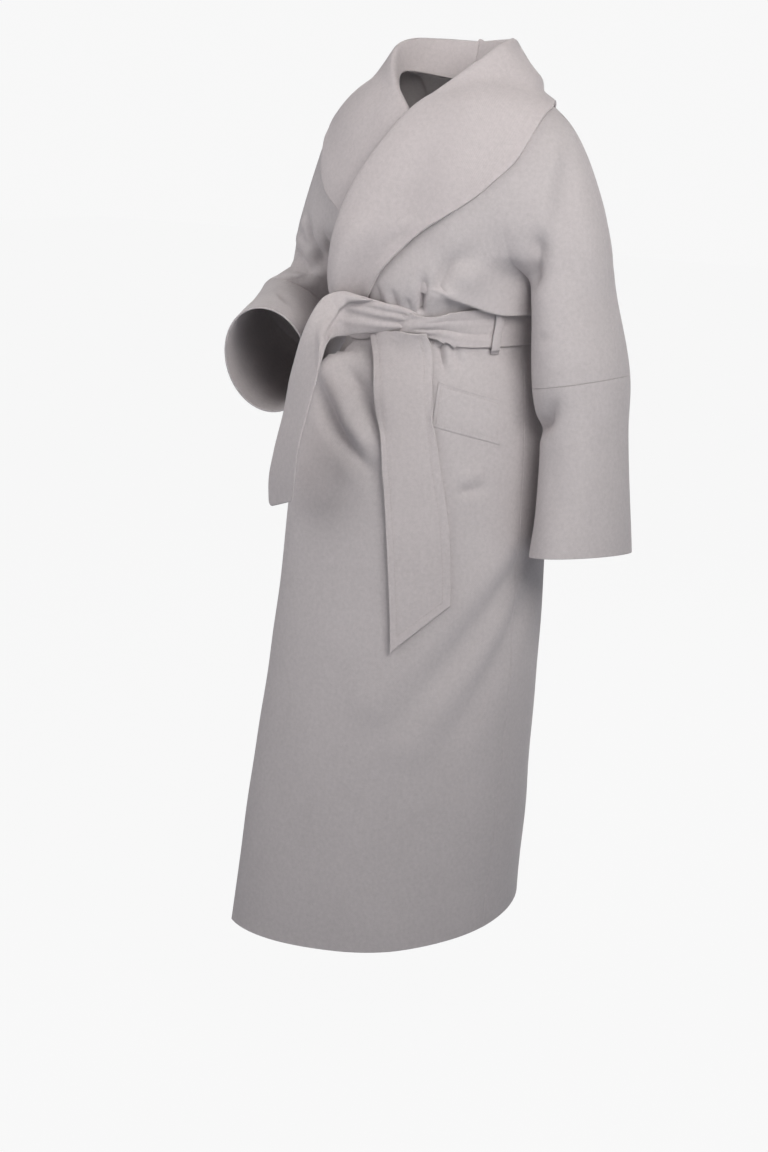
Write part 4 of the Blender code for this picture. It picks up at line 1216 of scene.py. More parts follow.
@dataclass
class CoatPanels:
    """The two fronts and the back, each cut in one with half of its upper sleeves."""

    form: CoatForm
    torso_columns: dict[Side, int] = field(default_factory=lambda: {Side.LEFT: 132, Side.RIGHT: 84})
    back_columns: int = 112
    arm_columns: int = 34
    upper_rows: int = 72
    arm_rows: int = 26
    ease_deg: tuple[float, float] = (24.0, 37.0)
    ease_right_deg: tuple[float, float] = (-70.0, -45.0)
    ease_low_z: tuple[float, float] = (-0.352, -0.335)
    ease_high_z: tuple[float, float] = (-0.262, -0.220)
    ease_steps: int = 260
    settle_reach: tuple[float, float] = (0.004, 0.034)
    settle_steps: int = 16
    nets: dict[str, ClothNet] = field(default_factory=dict)
    body_rows: dict[str, Array] = field(default_factory=dict)
    keys: Array = field(default_factory=lambda: np.zeros(0))

    def _crotch(self, row: Array, share: Array) -> Array:
        """How far the cloth beside the underarm curve is parted."""
        return self.form.crotch * (1.0 - 0.5**row) * share**5

    def _arm_block(self, side: Side, half: Half) -> Array:
        """The half upper sleeve under the underarm, from the crotch to the overarm."""
        station = np.linspace(0, 1, self.arm_rows + 1)[1:, None]
        share = np.linspace(0, 1, self.arm_columns + 1)[None, :]
        angle = math.pi * (share - 0.5)
        points = self.form.sleeve_points(side, station, angle if half is Half.FRONT else math.pi - angle)
        inset = 1.6 * self._crotch(4 * station, 1 - share) * (1 - station)
        points[..., 0] += side.sign * inset
        return points

    def _front(self, side: Side) -> ClothNet:
        """One front with the front half of its upper sleeve."""
        form, columns = self.form, self.torso_columns[side]
        net = ClothNet("front_" + side.value)
        across = np.linspace(0, 1, columns + 1)
        arm = np.linspace(0, 1, self.arm_columns + 1)[1:]
        levels = np.linspace(1, 0, self.upper_rows + 1)
        start = np.array([form.edge_share(side, level) for level in levels])[:, None]
        torso = start + (form.crease_share - start) * across
        sleeve = np.broadcast_to(form.crease_share + (1 - form.crease_share) * arm, (len(levels), len(arm)))
        shares = np.concatenate([torso, sleeve], axis=1)
        upper = form.upper_points(side, Half.FRONT, levels[:, None], shares)
        keys = self.keys[1:, None]
        first = form.edge_angle(side, keys)
        last = side.sign * form.seam_angle(keys)
        body = form.body_points(first + (last - first) * across, keys, side is Side.RIGHT)
        parted = self._crotch(3 * np.minimum(keys, 2.0), across) * (1 - soft_step(keys, 0.3, 0.9))
        body[..., 0] -= side.sign * parted
        arm_block = self._arm_block(side, Half.FRONT)
        if side is Side.LEFT:
            flare = form.wrap_flare * soft_step(keys, form.belt_key, len(form.body) - 1)
            flare = flare * (1 - soft_step(across, 0.0, 0.45))
            body[..., 0] += flare * np.sin(first)
            body[..., 1] -= flare * np.cos(first)
            upper = form.over_lift(upper, np.zeros(upper.shape[:2]))
            body = form.over_lift(body, np.broadcast_to(soft_step(keys, 1.0, 3.0), body.shape[:2]))
            arm_block = form.over_lift(arm_block, np.zeros(arm_block.shape[:2]))
        top = net.block(upper)
        below = np.vstack([top[-1:, : columns + 1], net.block(body)])
        beside = np.vstack([top[-1:, columns:], net.block(arm_block)])
        flip = side is Side.RIGHT
        for index in (top, below, beside):
            net.weave(index, flip)
        self.body_rows[net.name] = below
        body_grid = np.vstack([top[:, : columns + 1], below[1:]])
        self._settle(net, body_grid)
        self._settle(net, np.vstack([top[:, columns:], beside[1:]]))
        self._ease(net, body_grid, side)
        return net

    def _back(self) -> ClothNet:
        """The back with the back halves of both upper sleeves, from the right overarm to the left."""
        form, half = self.form, self.back_columns // 2
        net = ClothNet("back")
        levels = np.linspace(1, 0, self.upper_rows + 1)[:, None]
        torso = form.crease_share * np.linspace(0, 1, half + 1)
        arm = form.crease_share + (1 - form.crease_share) * np.linspace(0, 1, self.arm_columns + 1)[1:]
        share = np.concatenate([torso, arm])[None, :]
        left = form.upper_points(Side.LEFT, Half.BACK, levels, share)
        right = form.upper_points(Side.RIGHT, Half.BACK, levels, share)
        upper = np.concatenate([right[:, :0:-1], left], axis=1)
        keys = self.keys[1:, None]
        offset = np.linspace(-1, 1, self.back_columns + 1)[None, :]
        body = form.body_points(math.pi - offset * (math.pi - form.seam_angle(keys)), keys)
        parted = self._crotch(3 * np.minimum(keys, 2.0), np.abs(offset)) * (1 - soft_step(keys, 0.3, 0.9))
        body[..., 0] -= np.sign(offset) * parted
        top = net.block(upper)
        arms = self.arm_columns
        below = np.vstack([top[-1:, arms : arms + self.back_columns + 1], net.block(body)])
        left_arm, right_arm = (net.block(self._arm_block(side, Half.BACK)) for side in Side)
        left_arm = np.vstack([top[-1:, arms + self.back_columns :], left_arm])
        right_arm = np.vstack([top[-1:, arms::-1], right_arm])
        for index, flip in ((top, True), (below, True), (left_arm, True), (right_arm, False)):
            net.weave(index, flip)
        self.body_rows[net.name] = below
        self._settle(net, np.vstack([top[:, arms : arms + self.back_columns + 1], below[1:]]))
        self._settle(net, np.vstack([top[:, arms + self.back_columns :], left_arm[1:]]))
        self._settle(net, np.vstack([top[:, arms::-1], right_arm[1:]]))
        return net

    def _settle(self, net: ClothNet, index: Array) -> None:
        """Rounds the cloth where the upper sections meet the body and the sleeves."""
        far = np.abs(net.points[index][..., 2] - self.form.underarm_z)
        net.relax_down(index, 0.5 * (1 - soft_step(far, *self.settle_reach)), self.settle_steps)

    def _ease(self, net: ClothNet, index: Array, side: Side) -> None:
        """Lets the middle of a front run smoothly into the belt; it bags only towards the side."""
        spots = net.points[index]
        degrees = np.degrees(np.arctan2(spots[..., 0], -spots[..., 1]))
        height = spots[..., 2]
        share = soft_step(height, *self.ease_low_z) * (1 - soft_step(height, *self.ease_high_z))
        if side is Side.LEFT:
            share = share * (1 - soft_step(degrees, *self.ease_deg))
        else:
            share = share * soft_step(degrees, *self.ease_right_deg)
        net.relax_down(index, 0.5 * share, self.ease_steps)

    def cut(self) -> None:
        """Makes the three nets."""
        self.keys = self.form.body_keys()
        for net in (self._front(Side.LEFT), self._front(Side.RIGHT), self._back()):
            self.nets[net.name] = net

    def outside(self, name: str) -> tuple[Array, Array]:
        """The outer face of one panel."""
        return ClothShell(self.nets[name], self.form.wall).outside()

    def outer_rows(self, name: str, key: Array) -> Array:
        """The outside of a panel's body at rows of the body table.

        Args:
            name: The panel.
            key: Row numbers with their fractions, one for each result row.

        Returns:
            Points, rows by the panel's columns by three.
        """
        points = self.outside(name)[0][self.body_rows[name]]
        row = np.interp(key, self.keys, np.arange(len(self.keys)))
        low = np.minimum(row.astype(int), len(self.keys) - 2)
        share = (row - low)[:, None, None]
        return points[low] * (1 - share) + points[low + 1] * share

    def build(self, dresser: Dresser) -> None:
        """Makes the three shells and puts them on the frame."""
        for name, net in self.nets.items():
            piece = ClothShell(net, self.form.wall).build()
            dresser.put_on(piece, (name,), Slot.COAT, COAT_FINISH)


@dataclass
class LowerSleeves:
    """The two lower sleeve tubes from the elbow seam to the open cuff."""

    form: CoatForm
    around: int = 68
    rows: int = 52
    flat: tuple[float, float] = (0.48, 0.26)
    area: float = 0.112
    nets: dict[str, ClothNet] = field(default_factory=dict)

    def _net(self, side: Side) -> ClothNet:
        """One lower sleeve."""
        net = ClothNet("sleeve_lower_" + side.value)
        station = np.linspace(1.0, 3.0, self.rows + 1)[:, None]
        angle = math.pi * (2 * np.arange(self.around) / self.around - 0.5)[None, :]
        index = net.block(self.form.sleeve_points(side, station, angle))
        net.weave(np.concatenate([index, index[:, :1]], axis=1), side is Side.RIGHT)
        return net

    def cut(self) -> None:
        """Makes the two nets."""
        for side in Side:
            net = self._net(side)
            self.nets[net.name] = net

    def build(self, dresser: Dresser) -> None:
        """Makes both shells and puts them on the frame."""
        for side in Side:
            net = self.nets["sleeve_lower_" + side.value]
            piece = ClothShell(net, self.form.wall).build()
            dresser.put_on(piece, (net.name,), Slot.COAT, COAT_FINISH)


SEAMS: tuple[tuple[str, str], ...] = (
    ("front_left", "back"),
    ("front_right", "back"),
    ("front_left", "sleeve_lower_left"),
    ("back", "sleeve_lower_left"),
    ("front_right", "sleeve_lower_right"),
    ("back", "sleeve_lower_right"),
)


def fold(nets: dict[str, ClothNet], form: CoatForm) -> None:
    """Sews the pieces together, gives them their folds and closes the seams again.

    Args:
        nets: The pieces by name.
        form: The coat's form, on which some folds are placed.
    """
    creases = CREASES + tuple(one.crease(form) for one in HIDDEN_CREASES)
    for one, other in SEAMS:
        sew(nets[one], nets[other])
    for net in nets.values():
        net.ripple(height=0.0007, length=0.16, seed=11)
        net.crease(creases)
        net.seam, net.seam_normals = np.zeros(0, int), np.zeros((0, 3))
    for one, other in SEAMS:
        sew(nets[one], nets[other])


@dataclass(frozen=True)
class CollarSection:
    """A collar half at a place along the neckline: its roll and its outer edge."""

    place: float
    roll_x: float
    roll_y: float
    roll_z: float
    out_x: float
    out_y: float
    out_z: float


@dataclass
class ShawlCollar:
    """The deep shawl collar, two halves joined at the centre back.

    Places along the neckline: 0 centre back, 1 shoulder seam, 2 the crossing, 4 the belt.
    """

    form: CoatForm
    wall: float = 0.0042
    off: float = 0.0008
    loft: float = 0.0050
    tucked: float = 0.0022
    stations: int = 110
    stand_steps: int = 9
    fall_steps: int = 34
    fall_power: float = 1.15
    crossing_lift: float = 0.016
    lies_flat: float = 0.0045
    lies_loose: float = 0.12
    under_over: float = 0.0012
    roll_soft: float = 0.10
    rim: float = 0.0016
    sewn_reach: float = 0.006
    flat: tuple[float, float] = (0.24, 0.62)
    area: float = 0.105
    levels: tuple[tuple[float, float], ...] = (
        (1.0, 1.0), (1.4, 0.92), (2.0, 0.78), (3.0, 0.40), (3.5, 0.18), (4.0, 0.02)
    )
    left: tuple[CollarSection, ...] = (
        CollarSection(0.0, 0.000, 0.076, 0.046, 0.000, 0.136, -0.088),
        CollarSection(0.5, 0.052, 0.060, 0.048, 0.088, 0.124, -0.084),
        CollarSection(0.8, 0.080, 0.032, 0.048, 0.132, 0.074, -0.052),
        CollarSection(1.0, 0.086, -0.004, 0.040, 0.163, 0.028, -0.030),
        CollarSection(1.4, 0.048, -0.070, -0.012, 0.178, -0.020, -0.046),
        CollarSection(2.0, 0.003, -0.110, -0.058, 0.168, -0.076, -0.107),
        CollarSection(2.5, -0.034, -0.144, -0.118, 0.133, -0.100, -0.151),
        CollarSection(3.0, -0.060, -0.166, -0.178, 0.100, -0.126, -0.183),
        CollarSection(3.5, -0.073, -0.179, -0.238, 0.044, -0.158, -0.226),
        CollarSection(3.8, -0.079, -0.176, -0.284, 0.002, -0.164, -0.272),
        CollarSection(4.0, -0.080, -0.163, -0.318, -0.028, -0.152, -0.316),
    )
    right: tuple[CollarSection, ...] = (
        CollarSection(0.0, 0.000, 0.076, 0.046, 0.000, 0.136, -0.088),
        CollarSection(0.5, -0.052, 0.060, 0.048, -0.088, 0.124, -0.084),
        CollarSection(0.8, -0.080, 0.032, 0.048, -0.130, 0.074, -0.052),
        CollarSection(1.0, -0.086, -0.004, 0.040, -0.154, 0.030, -0.036),
        CollarSection(1.4, -0.050, -0.068, -0.014, -0.172, -0.020, -0.056),
        CollarSection(2.0, -0.004, -0.096, -0.062, -0.170, -0.080, -0.115),
        CollarSection(2.5, 0.024, -0.122, -0.118, -0.146, -0.110, -0.160),
        CollarSection(3.0, 0.050, -0.140, -0.174, -0.100, -0.140, -0.197),
        CollarSection(3.5, 0.070, -0.142, -0.238, -0.040, -0.154, -0.240),
        CollarSection(3.8, 0.075, -0.140, -0.268, 0.000, -0.154, -0.268),
        CollarSection(4.0, 0.078, -0.136, -0.296, 0.022, -0.148, -0.294),
    )

    def _base(self, side: Side, place: float) -> Array:
        """Where a collar half starts: just off the neckline or the front's edge."""
        form = self.form
        if place <= 1.0:
            shares = np.linspace(0.0, 0.5, 30)
            line = form.upper_points(side, Half.BACK, 1.0, shares)
            share = np.interp(place * form.neck_half, np.abs(line[:, 0]), shares)
            return form.upper_points(side, Half.BACK, 1.0, share) + (0.0, 0.0, self.off)
        level = float(follow(*zip(*self.levels), place))
        share = form.edge_share(side, level)
        ends = form.upper_points(side, Half.FRONT, level, np.array((share, share + 0.05)))
        if side is Side.LEFT:
            ends = form.over_lift(ends, np.zeros(2))
        away = ends[0] - ends[1]
        away[2] += np.linalg.norm(away) * (1.0 - soft_step(place, 1.0, 1.8))
        return ends[0] + unit(away) * self.off

    def _net(self, side: Side, under: Surface) -> ClothNet:
        """One collar half: up from the neckline, over the roll and down to its outer edge."""
        rows = self.left if side is Side.LEFT else self.right
        keys = column(rows, "place")
        places = np.linspace(0.0, 4.0, self.stations + 1)
        stand = np.linspace(0.0, 1.0, self.stand_steps + 1)
        fall = np.linspace(0.0, 1.0, self.fall_steps + 1)[1:] ** self.fall_power
        share = np.concatenate([stand, 1.0 + fall])
        grid = np.zeros((len(places), len(share), 3))
        least = np.zeros(grid.shape[:2])
        most = np.ones(grid.shape[:2])
        for i, place in enumerate(places):
            values = [float(follow(keys, column(rows, f.name), place)) for f in fields(CollarSection)[1:]]
            base, roll, out = self._base(side, place), np.array(values[:3]), np.array(values[3:])
            tucked = float(soft_step(place, 1.6, 2.3)) if side is Side.RIGHT else 0.0
            up = np.clip(share, 0.0, 1.0)[:, None]
            down = np.clip(share - 1.0, 0.0, 1.0)[:, None]
            line = base + (roll - base) * up + (out - roll) * down
            bow = np.sin(math.pi * np.minimum(1.0, down[:, 0] * 1.6)) * soft_step(place, 1.0, 2.0)
            line[:, 1] -= self.crossing_lift * bow * (1.0 - 0.7 * tucked)
            grid[i] = line
            loft = self.loft * np.minimum(1.0, share * 0.6) * (1.0 - 0.65 * down[:, 0] ** 2)
            least[i] = loft + (self.tucked - loft) * tucked
            lies = self.lies_flat + self.lies_loose * (1.0 - soft_step(down[:, 0], 0.35, 0.75))
            free = soft_step(-line[:, 0], 0.085, 0.130)
            beneath = (self.tucked + self.under_over) * (1.0 - free) + lies * free
            most[i] = lies + (beneath - lies) * tucked
            least[i, 0], most[i, 0] = -1.0, 1.0
        net = ClothNet("collar_" + side.value)
        index = net.block(grid)
        net.weave(index, side is Side.RIGHT)
        roll_share = np.exp(-(((share - 1.0) / self.roll_soft) ** 2))
        net.relax(np.broadcast_to(0.5 * roll_share, index.shape).reshape(-1), 3)
        net.points = under.keep_clear(net.points, least.reshape(-1), most.reshape(-1))
        net.relax(np.full(len(net.points), 0.5), 6)
        net.points = under.keep_clear(net.points, 0.8 * least.reshape(-1), None)
        net.ripple(height=0.0006, length=0.14, seed=23)
        return net

    def build(self, dresser: Dresser, panels: CoatPanels) -> None:
        """Makes both halves and puts them on the frame.

        Args:
            dresser: Puts the pieces on.
            panels: What the collar lies on.
        """
        back = panels.outside("back")
        nets = {}
        for side in Side:
            net = self._net(side, Surface([panels.outside("front_" + side.value), back]))
            nets[net.name] = net
        sew(*nets.values(), reach=self.sewn_reach)
        for name, net in nets.items():
            piece = ClothShell(net, self.wall, edge=self.rim).build()
            dresser.put_on(piece, (name,), Slot.COLLAR, COLLAR_FINISH)


@dataclass(frozen=True)
class StitchRow:
    """Topstitching: the stitch's length, the pitch and the thread's thickness."""

    length: float = 0.0030
    pitch: float = 0.0042
    thick: float = 0.00035

    def build(self, name: str, line: Array, normal: Array) -> bpy.types.Object:
        """A row of stitches along a line on a surface.

        Args:
            name: The object's name.
            line: The line's points, one a row.
            normal: Outward directions at those points.

        Returns:
            The mesh object.
        """
        far = np.concatenate([[0.0], np.cumsum(np.linalg.norm(np.diff(line, axis=0), axis=1))])
        count = int(far[-1] / self.pitch)
        points: list[Array] = []
        faces: list[list[int]] = []
        for n in range(count):
            at = (n + 0.5) * self.pitch
            spot = np.array([np.interp(at, far, line[:, k]) for k in range(3)])
            up = unit(np.array([np.interp(at, far, normal[:, k]) for k in range(3)]))
            back, front = at - self.length / 3, at + self.length / 3
            ahead = unit(np.array([np.interp(front, far, p) - np.interp(back, far, p) for p in line.T]))
            aside = np.cross(up, ahead)
            start = len(points)
            for share, size in ((-0.5, 0.35), (-0.3, 1.0), (0.3, 1.0), (0.5, 0.35)):
                lift = up * self.thick * (0.55 if abs(share) < 0.4 else -0.4)
                for turn in np.arange(6) * math.pi / 3:
                    ring = aside * math.cos(turn) * 1.3 + up * math.sin(turn)
                    points.append(spot + ahead * share * self.length + lift + ring * self.thick * size)
            for ring in range(3):
                for k in range(6):
                    a, b = start + ring * 6 + k, start + ring * 6 + (k + 1) % 6
                    faces.append([a, b, b + 6, a + 6])
            for ring, order in ((0, 1), (3, -1)):
                first = start + ring * 6
                faces.append([first + k for k in (5, 4, 3, 2)][::order])
                faces.append([first + k for k in (5, 2, 1, 0)][::order])
        return mesh_object(name, np.array(points), np.array(faces))


def stitch_path(index: Array, side: int, end: int, open_top: bool) -> Array:
    """The points of a stitched line inside a piece's edges.

    Args:
        index: The piece's point numbers, rows by columns.
        side: How many columns in from both sides.
        end: How many rows in from the ends.
        open_top: Whether the line runs off the top; else it goes all round.

    Returns:
        Point numbers in order.
    """
    top = 0 if open_top else end
    down = index[top : len(index) - end, side]
    across = index[len(index) - end - 1, side + 1 : index.shape[1] - side - 1]
    up = index[top : len(index) - end, index.shape[1] - side - 1][::-1]
    parts = [down, across, up]
    if not open_top:
        parts.append(index[top, side : index.shape[1] - side - 1][::-1])
    return np.concatenate(parts)


@dataclass(frozen=True)
class BeltSection:
    """The belt's end on its way over the knot and down: middle, half-width and half-thickness."""

    x: float
    y: float
    z: float
    wide_x: float
    wide_y: float
    wide_z: float
    thick: float


@dataclass(frozen=True)
class LongTailSection:
    """The long tail: height of its left edge, how much higher the right one is, both edges' X."""

    z: float
    rise: float
    left: float
    right: float


@dataclass(frozen=True)
class EndFold:
    """A lengthwise fold of the belt's end: where across it starts and ends, its depth and width."""

    start: float
    end: float
    depth: float
    width: float


@dataclass(frozen=True)
class Pleat:
    """A lengthwise fold of the band: where across it lies at the knot and at the loop, and its depth."""

    at_knot: float
    at_loop: float
    depth: float


@dataclass
class TieBelt:
    """The tied belt: the band, the knot with the short tail, and the long tail."""

    wall: float = 0.0034
    gap: float = 0.0006
    band_keys: tuple[float, float] = (2.50, 3.90)
    band_rows: int = 28
    band_rim: float = 0.0017
    band_lift: float = 0.0014
    band_wave: float = 0.0007
    crossing_deg: float = 13.0
    crossing_lean_deg: float = 7.3
    pleats: tuple[Pleat, ...] = (Pleat(-0.42, -0.55, 0.0013), Pleat(0.12, 0.32, 0.0025))
    pleat_run_deg: tuple[float, float] = (16.0, 58.0)
    pleat_end_deg: tuple[float, float] = (60.0, 76.0)
    bunch_high: float = 0.0058
    right_from: float = 0.60
    knot_deg: float = 16.0
    knot_spread_deg: float = 36.0
    knot_narrow: float = 0.72
    knot_up: float = 0.16
    end: tuple[BeltSection, ...] = (
        BeltSection(0.0586, -0.1340, -0.3400, -0.0047, 0.0000, -0.0087, 0.0012),
        BeltSection(0.0392, -0.1440, -0.3367, -0.0078, -0.0005, -0.0135, 0.0036),
        BeltSection(0.0205, -0.1525, -0.3345, -0.0088, 0.0005, -0.0180, 0.0056),
        BeltSection(0.0004, -0.1615, -0.3339, -0.0081, 0.0015, -0.0210, 0.0062),
        BeltSection(-0.0243, -0.1750, -0.3316, -0.0050, 0.0020, -0.0270, 0.0062),
        BeltSection(-0.0446, -0.1875, -0.3303, -0.0019, 0.0025, -0.0316, 0.0062),
        BeltSection(-0.0525, -0.2035, -0.3331, 0.0057, 0.0025, -0.0288, 0.0062),
        BeltSection(-0.0518, -0.2215, -0.3406, 0.0139, -0.0005, -0.0215, 0.0055),
        BeltSection(-0.0509, -0.2350, -0.3518, 0.0206, -0.0040, -0.0123, 0.0042),
        BeltSection(-0.0521, -0.2445, -0.3669, 0.0266, -0.0075, -0.0037, 0.0028),
        BeltSection(-0.0546, -0.2520, -0.3900, 0.0310, -0.0110, 0.0014, 0.0021),
        BeltSection(-0.0587, -0.2595, -0.4215, 0.0331, -0.0135, 0.0036, 0.0019),
        BeltSection(-0.0643, -0.2650, -0.4592, 0.0326, -0.0150, 0.0055, 0.0019),
        BeltSection(-0.0762, -0.2710, -0.5161, 0.0345, -0.0170, 0.0067, 0.0019),
        BeltSection(-0.0816, -0.2725, -0.5521, 0.0361, -0.0165, 0.0087, 0.0019),
        BeltSection(-0.0844, -0.2715, -0.5941, 0.0327, -0.0155, 0.0072, 0.0019),
    )
    end_folds: tuple[EndFold, ...] = (
        EndFold(0.42, -0.20, 0.0034, 0.20),
        EndFold(-0.40, -0.66, 0.0020, 0.16),
    )
    end_tip: float = 0.4
    end_tip_steps: int = 15
    end_half: float = 0.038
    turn: tuple[float, float] = (3.6, 8.4)
    turn_high: float = 0.0085
    end_slant: float = 0.004
    end_corner: float = 0.012
    end_steps: int = 14
    end_around: int = 56
    long_tail: tuple[LongTailSection, ...] = (
        LongTailSection(-0.351, 0.000, -0.020, 0.068),
        LongTailSection(-0.440, 0.004, 0.011, 0.087),
        LongTailSection(-0.514, 0.006, 0.032, 0.102),
        LongTailSection(-0.640, 0.030, 0.054, 0.122),
        LongTailSection(-0.795, 0.069, 0.072, 0.134),
    )
    tail_rows: int = 110
    tail_columns: int = 24
    tail_line: Array = field(default_factory=lambda: np.zeros(0, int))
    tail_stand: float = 0.0026
    tail_open: float = 0.0050
    tail_rim: float = 0.0012
    stitch_half: float = 0.0022
    stitch_deep: float = 0.0008
    hem_in: int = 3

    def _band(self, panels: CoatPanels) -> ClothNet:
        """The belt round the waist, narrowed and pleated towards the knot."""
        middle = sum(self.band_keys) / 2
        share = np.linspace(self.band_keys[0], self.band_keys[1], self.band_rows + 1) - middle
        fine = np.linspace(self.band_keys[0], self.band_keys[1], 60)
        left = panels.outer_rows("front_left", fine)[:, ::-1]
        right = panels.outer_rows("front_right", fine)
        right = right[:, int(self.right_from * (right.shape[1] - 1)) : -1]
        back = panels.outer_rows("back", fine)[:, :-1]
        ring = np.concatenate([left, right, back], axis=1)
        halfway = 0.5 * (ring + np.roll(ring, -1, axis=1))
        ring = np.stack([ring, halfway], axis=2).reshape(len(fine), -1, 3)
        angle = np.arctan2(ring[30, :, 0], -ring[30, :, 1])
        beside = np.abs(np.degrees(angle) - self.knot_deg)
        width = self.knot_narrow + (1 - self.knot_narrow) * soft_step(beside, 4.0, self.knot_spread_deg)
        grid = np.zeros((len(share), ring.shape[1], 3))
        for j in range(ring.shape[1]):
            wanted = middle + share * width[j] - self.knot_up * (1 - width[j]) / (1 - self.knot_narrow)
            for k in range(3):
                grid[:, j, k] = np.interp(wanted, fine, ring[:, j, k])
        outward = np.stack([np.sin(angle), -np.cos(angle), np.zeros_like(angle)], axis=-1)
        grid += outward[None] * self.gap
        net = ClothNet("belt_band")
        index = net.block(grid)
        net.weave(np.concatenate([index, index[:, :1]], axis=1), True)
        net.relax(np.full(len(net.points), 0.5), 26)
        surface = Surface([panels.outside(name) for name in panels.nets])
        net.points = surface.keep_clear(net.points, np.full(len(net.points), self.gap))
        across = np.linspace(-1, 1, len(share))[:, None]
        degrees = np.broadcast_to(np.degrees(angle), index.shape)
        self._pleat(net, np.broadcast_to(across, index.shape), degrees)
        return net

    def _pleat(self, net: ClothNet, across: Array, degrees: Array) -> None:
        """Raises the band's lengthwise folds, which fan out from the knot.

        Args:
            net: The band.
            across: -1 at the top edge of the band, 1 at the bottom, for each point.
            degrees: Angle from the centre front for each point.
        """
        height = np.zeros(across.shape)
        beyond = degrees - (self.crossing_deg - self.crossing_lean_deg * across)
        near = soft_step(beyond, 4.0, 16.0) * (1 - soft_step(degrees, *self.pleat_end_deg))
        away = soft_step(degrees, *self.pleat_run_deg)
        for pleat in self.pleats:
            line = pleat.at_knot + (pleat.at_loop - pleat.at_knot) * away
            depth = pleat.depth * (1.0 - 0.55 * away) * near
            height -= depth * np.exp(-(((across - line) / 0.15) ** 2))
            height += 0.55 * depth * np.exp(-(((across - line - 0.27) / 0.17) ** 2))
        bunch = soft_step(beyond, -2.0, 7.0) * (1 - soft_step(beyond, 9.0, 40.0))
        height += self.bunch_high * bunch * (1 - 0.45 * across**2)
        around = self.band_wave * np.sin(across * 5.0 + degrees * 0.09) * (1 - near)
        net.points = net.points + net.normals() * (height + around + self.band_lift).reshape(-1, 1)

    def _end(self) -> bpy.types.Object:
        """The belt's end: from under the crossing, folded down and hanging free as the short tail."""
        keys = np.arange(len(self.end))
        last = len(self.end) - 1
        tip = last - self.end_tip
        before_tip = np.linspace(0, tip, (last - 1) * self.end_steps)
        along = np.concatenate([before_tip, np.linspace(tip, last, self.end_tip_steps)[1:]])
        read = {f.name: follow(keys, column(self.end, f.name), along) for f in fields(BeltSection)}
        centre = np.stack([read["x"], read["y"], read["z"]], axis=1)
        wide = np.stack([read["wide_x"], read["wide_y"], read["wide_z"]], axis=1)
        far = np.concatenate([[0.0], np.cumsum(np.linalg.norm(np.diff(centre, axis=0), axis=1))])
        face = unit(np.cross(np.gradient(centre, far, axis=0), wide))
        turn = 2 * math.pi * np.arange(self.end_around) / self.end_around
        cosine, sine = np.cos(turn), np.sin(turn)
        out = np.broadcast_to(np.sign(sine) * np.abs(sine) ** 0.55, (len(along), self.end_around))
        side = np.broadcast_to(np.sign(cosine) * np.abs(cosine) ** 0.85, out.shape)
        left = np.clip(self.end_corner - (far[-1] - far), 0.0, None)[:, None]
        cut = (self.end_corner - np.sqrt(np.maximum(self.end_corner**2 - left**2, 0.0))) / self.end_half
        reach = np.where(side < 0, side * (1 - cut), side)
        grid = centre[:, None] + wide[:, None] * reach[..., None]
        grid[..., 2] += self.end_slant * reach * soft_step(along, last - 2.5, last)[:, None]
        grid = grid + face[:, None] * (read["thick"][:, None] * out)[..., None]
        shown = (out > 0) * soft_step(along, 0.6, 1.6)[:, None]
        relief = np.zeros(out.shape)
        for one in self.end_folds:
            line = one.start + (one.end - one.start) * (along[:, None] / 6.0)
            fall = one.depth * (1 - soft_step(along, 4.6, 5.8))[:, None]
            relief -= fall * np.exp(-(((side - line) / one.width) ** 2))
            relief += 0.5 * fall * np.exp(-(((side - line - 1.6 * one.width) / one.width) ** 2))
        past = along[:, None] - (self.turn[0] + (self.turn[1] - self.turn[0]) * (side + 1) / 2)
        relief += self.turn_high * soft_step(past, -0.16, 0.12) * (1 - soft_step(past, 0.3, 2.6))
        relief -= 0.35 * self.turn_high * np.exp(-(((past + 0.42) / 0.22) ** 2))
        grid = grid + face[:, None] * (relief * shown)[..., None]
        net = ClothNet("wool_belt_end")
        index = net.block(grid)
        net.weave(np.concatenate([index, index[:, :1]], axis=1))
        caps = [net.block(grid[[row]].mean(axis=1, keepdims=True))[0, 0] for row in (0, -1)]
        faces = net.all_faces().tolist()
        flats = np.concatenate(net.corners).tolist()
        for row, cap, forward in ((0, caps[0], False), (-1, caps[1], True)):
            ring = index[row].tolist()
            for k in range(0, self.end_around, 2):
                a, b, c = ring[k], ring[(k + 1) % self.end_around], ring[(k + 2) % self.end_around]
                faces.append([cap, a, b, c] if not forward else [cap, c, b, a])
                flats.append([net.flat[a].tolist()] * 4)
        return mesh_object(net.name, net.points, np.array(faces), np.array(flats))

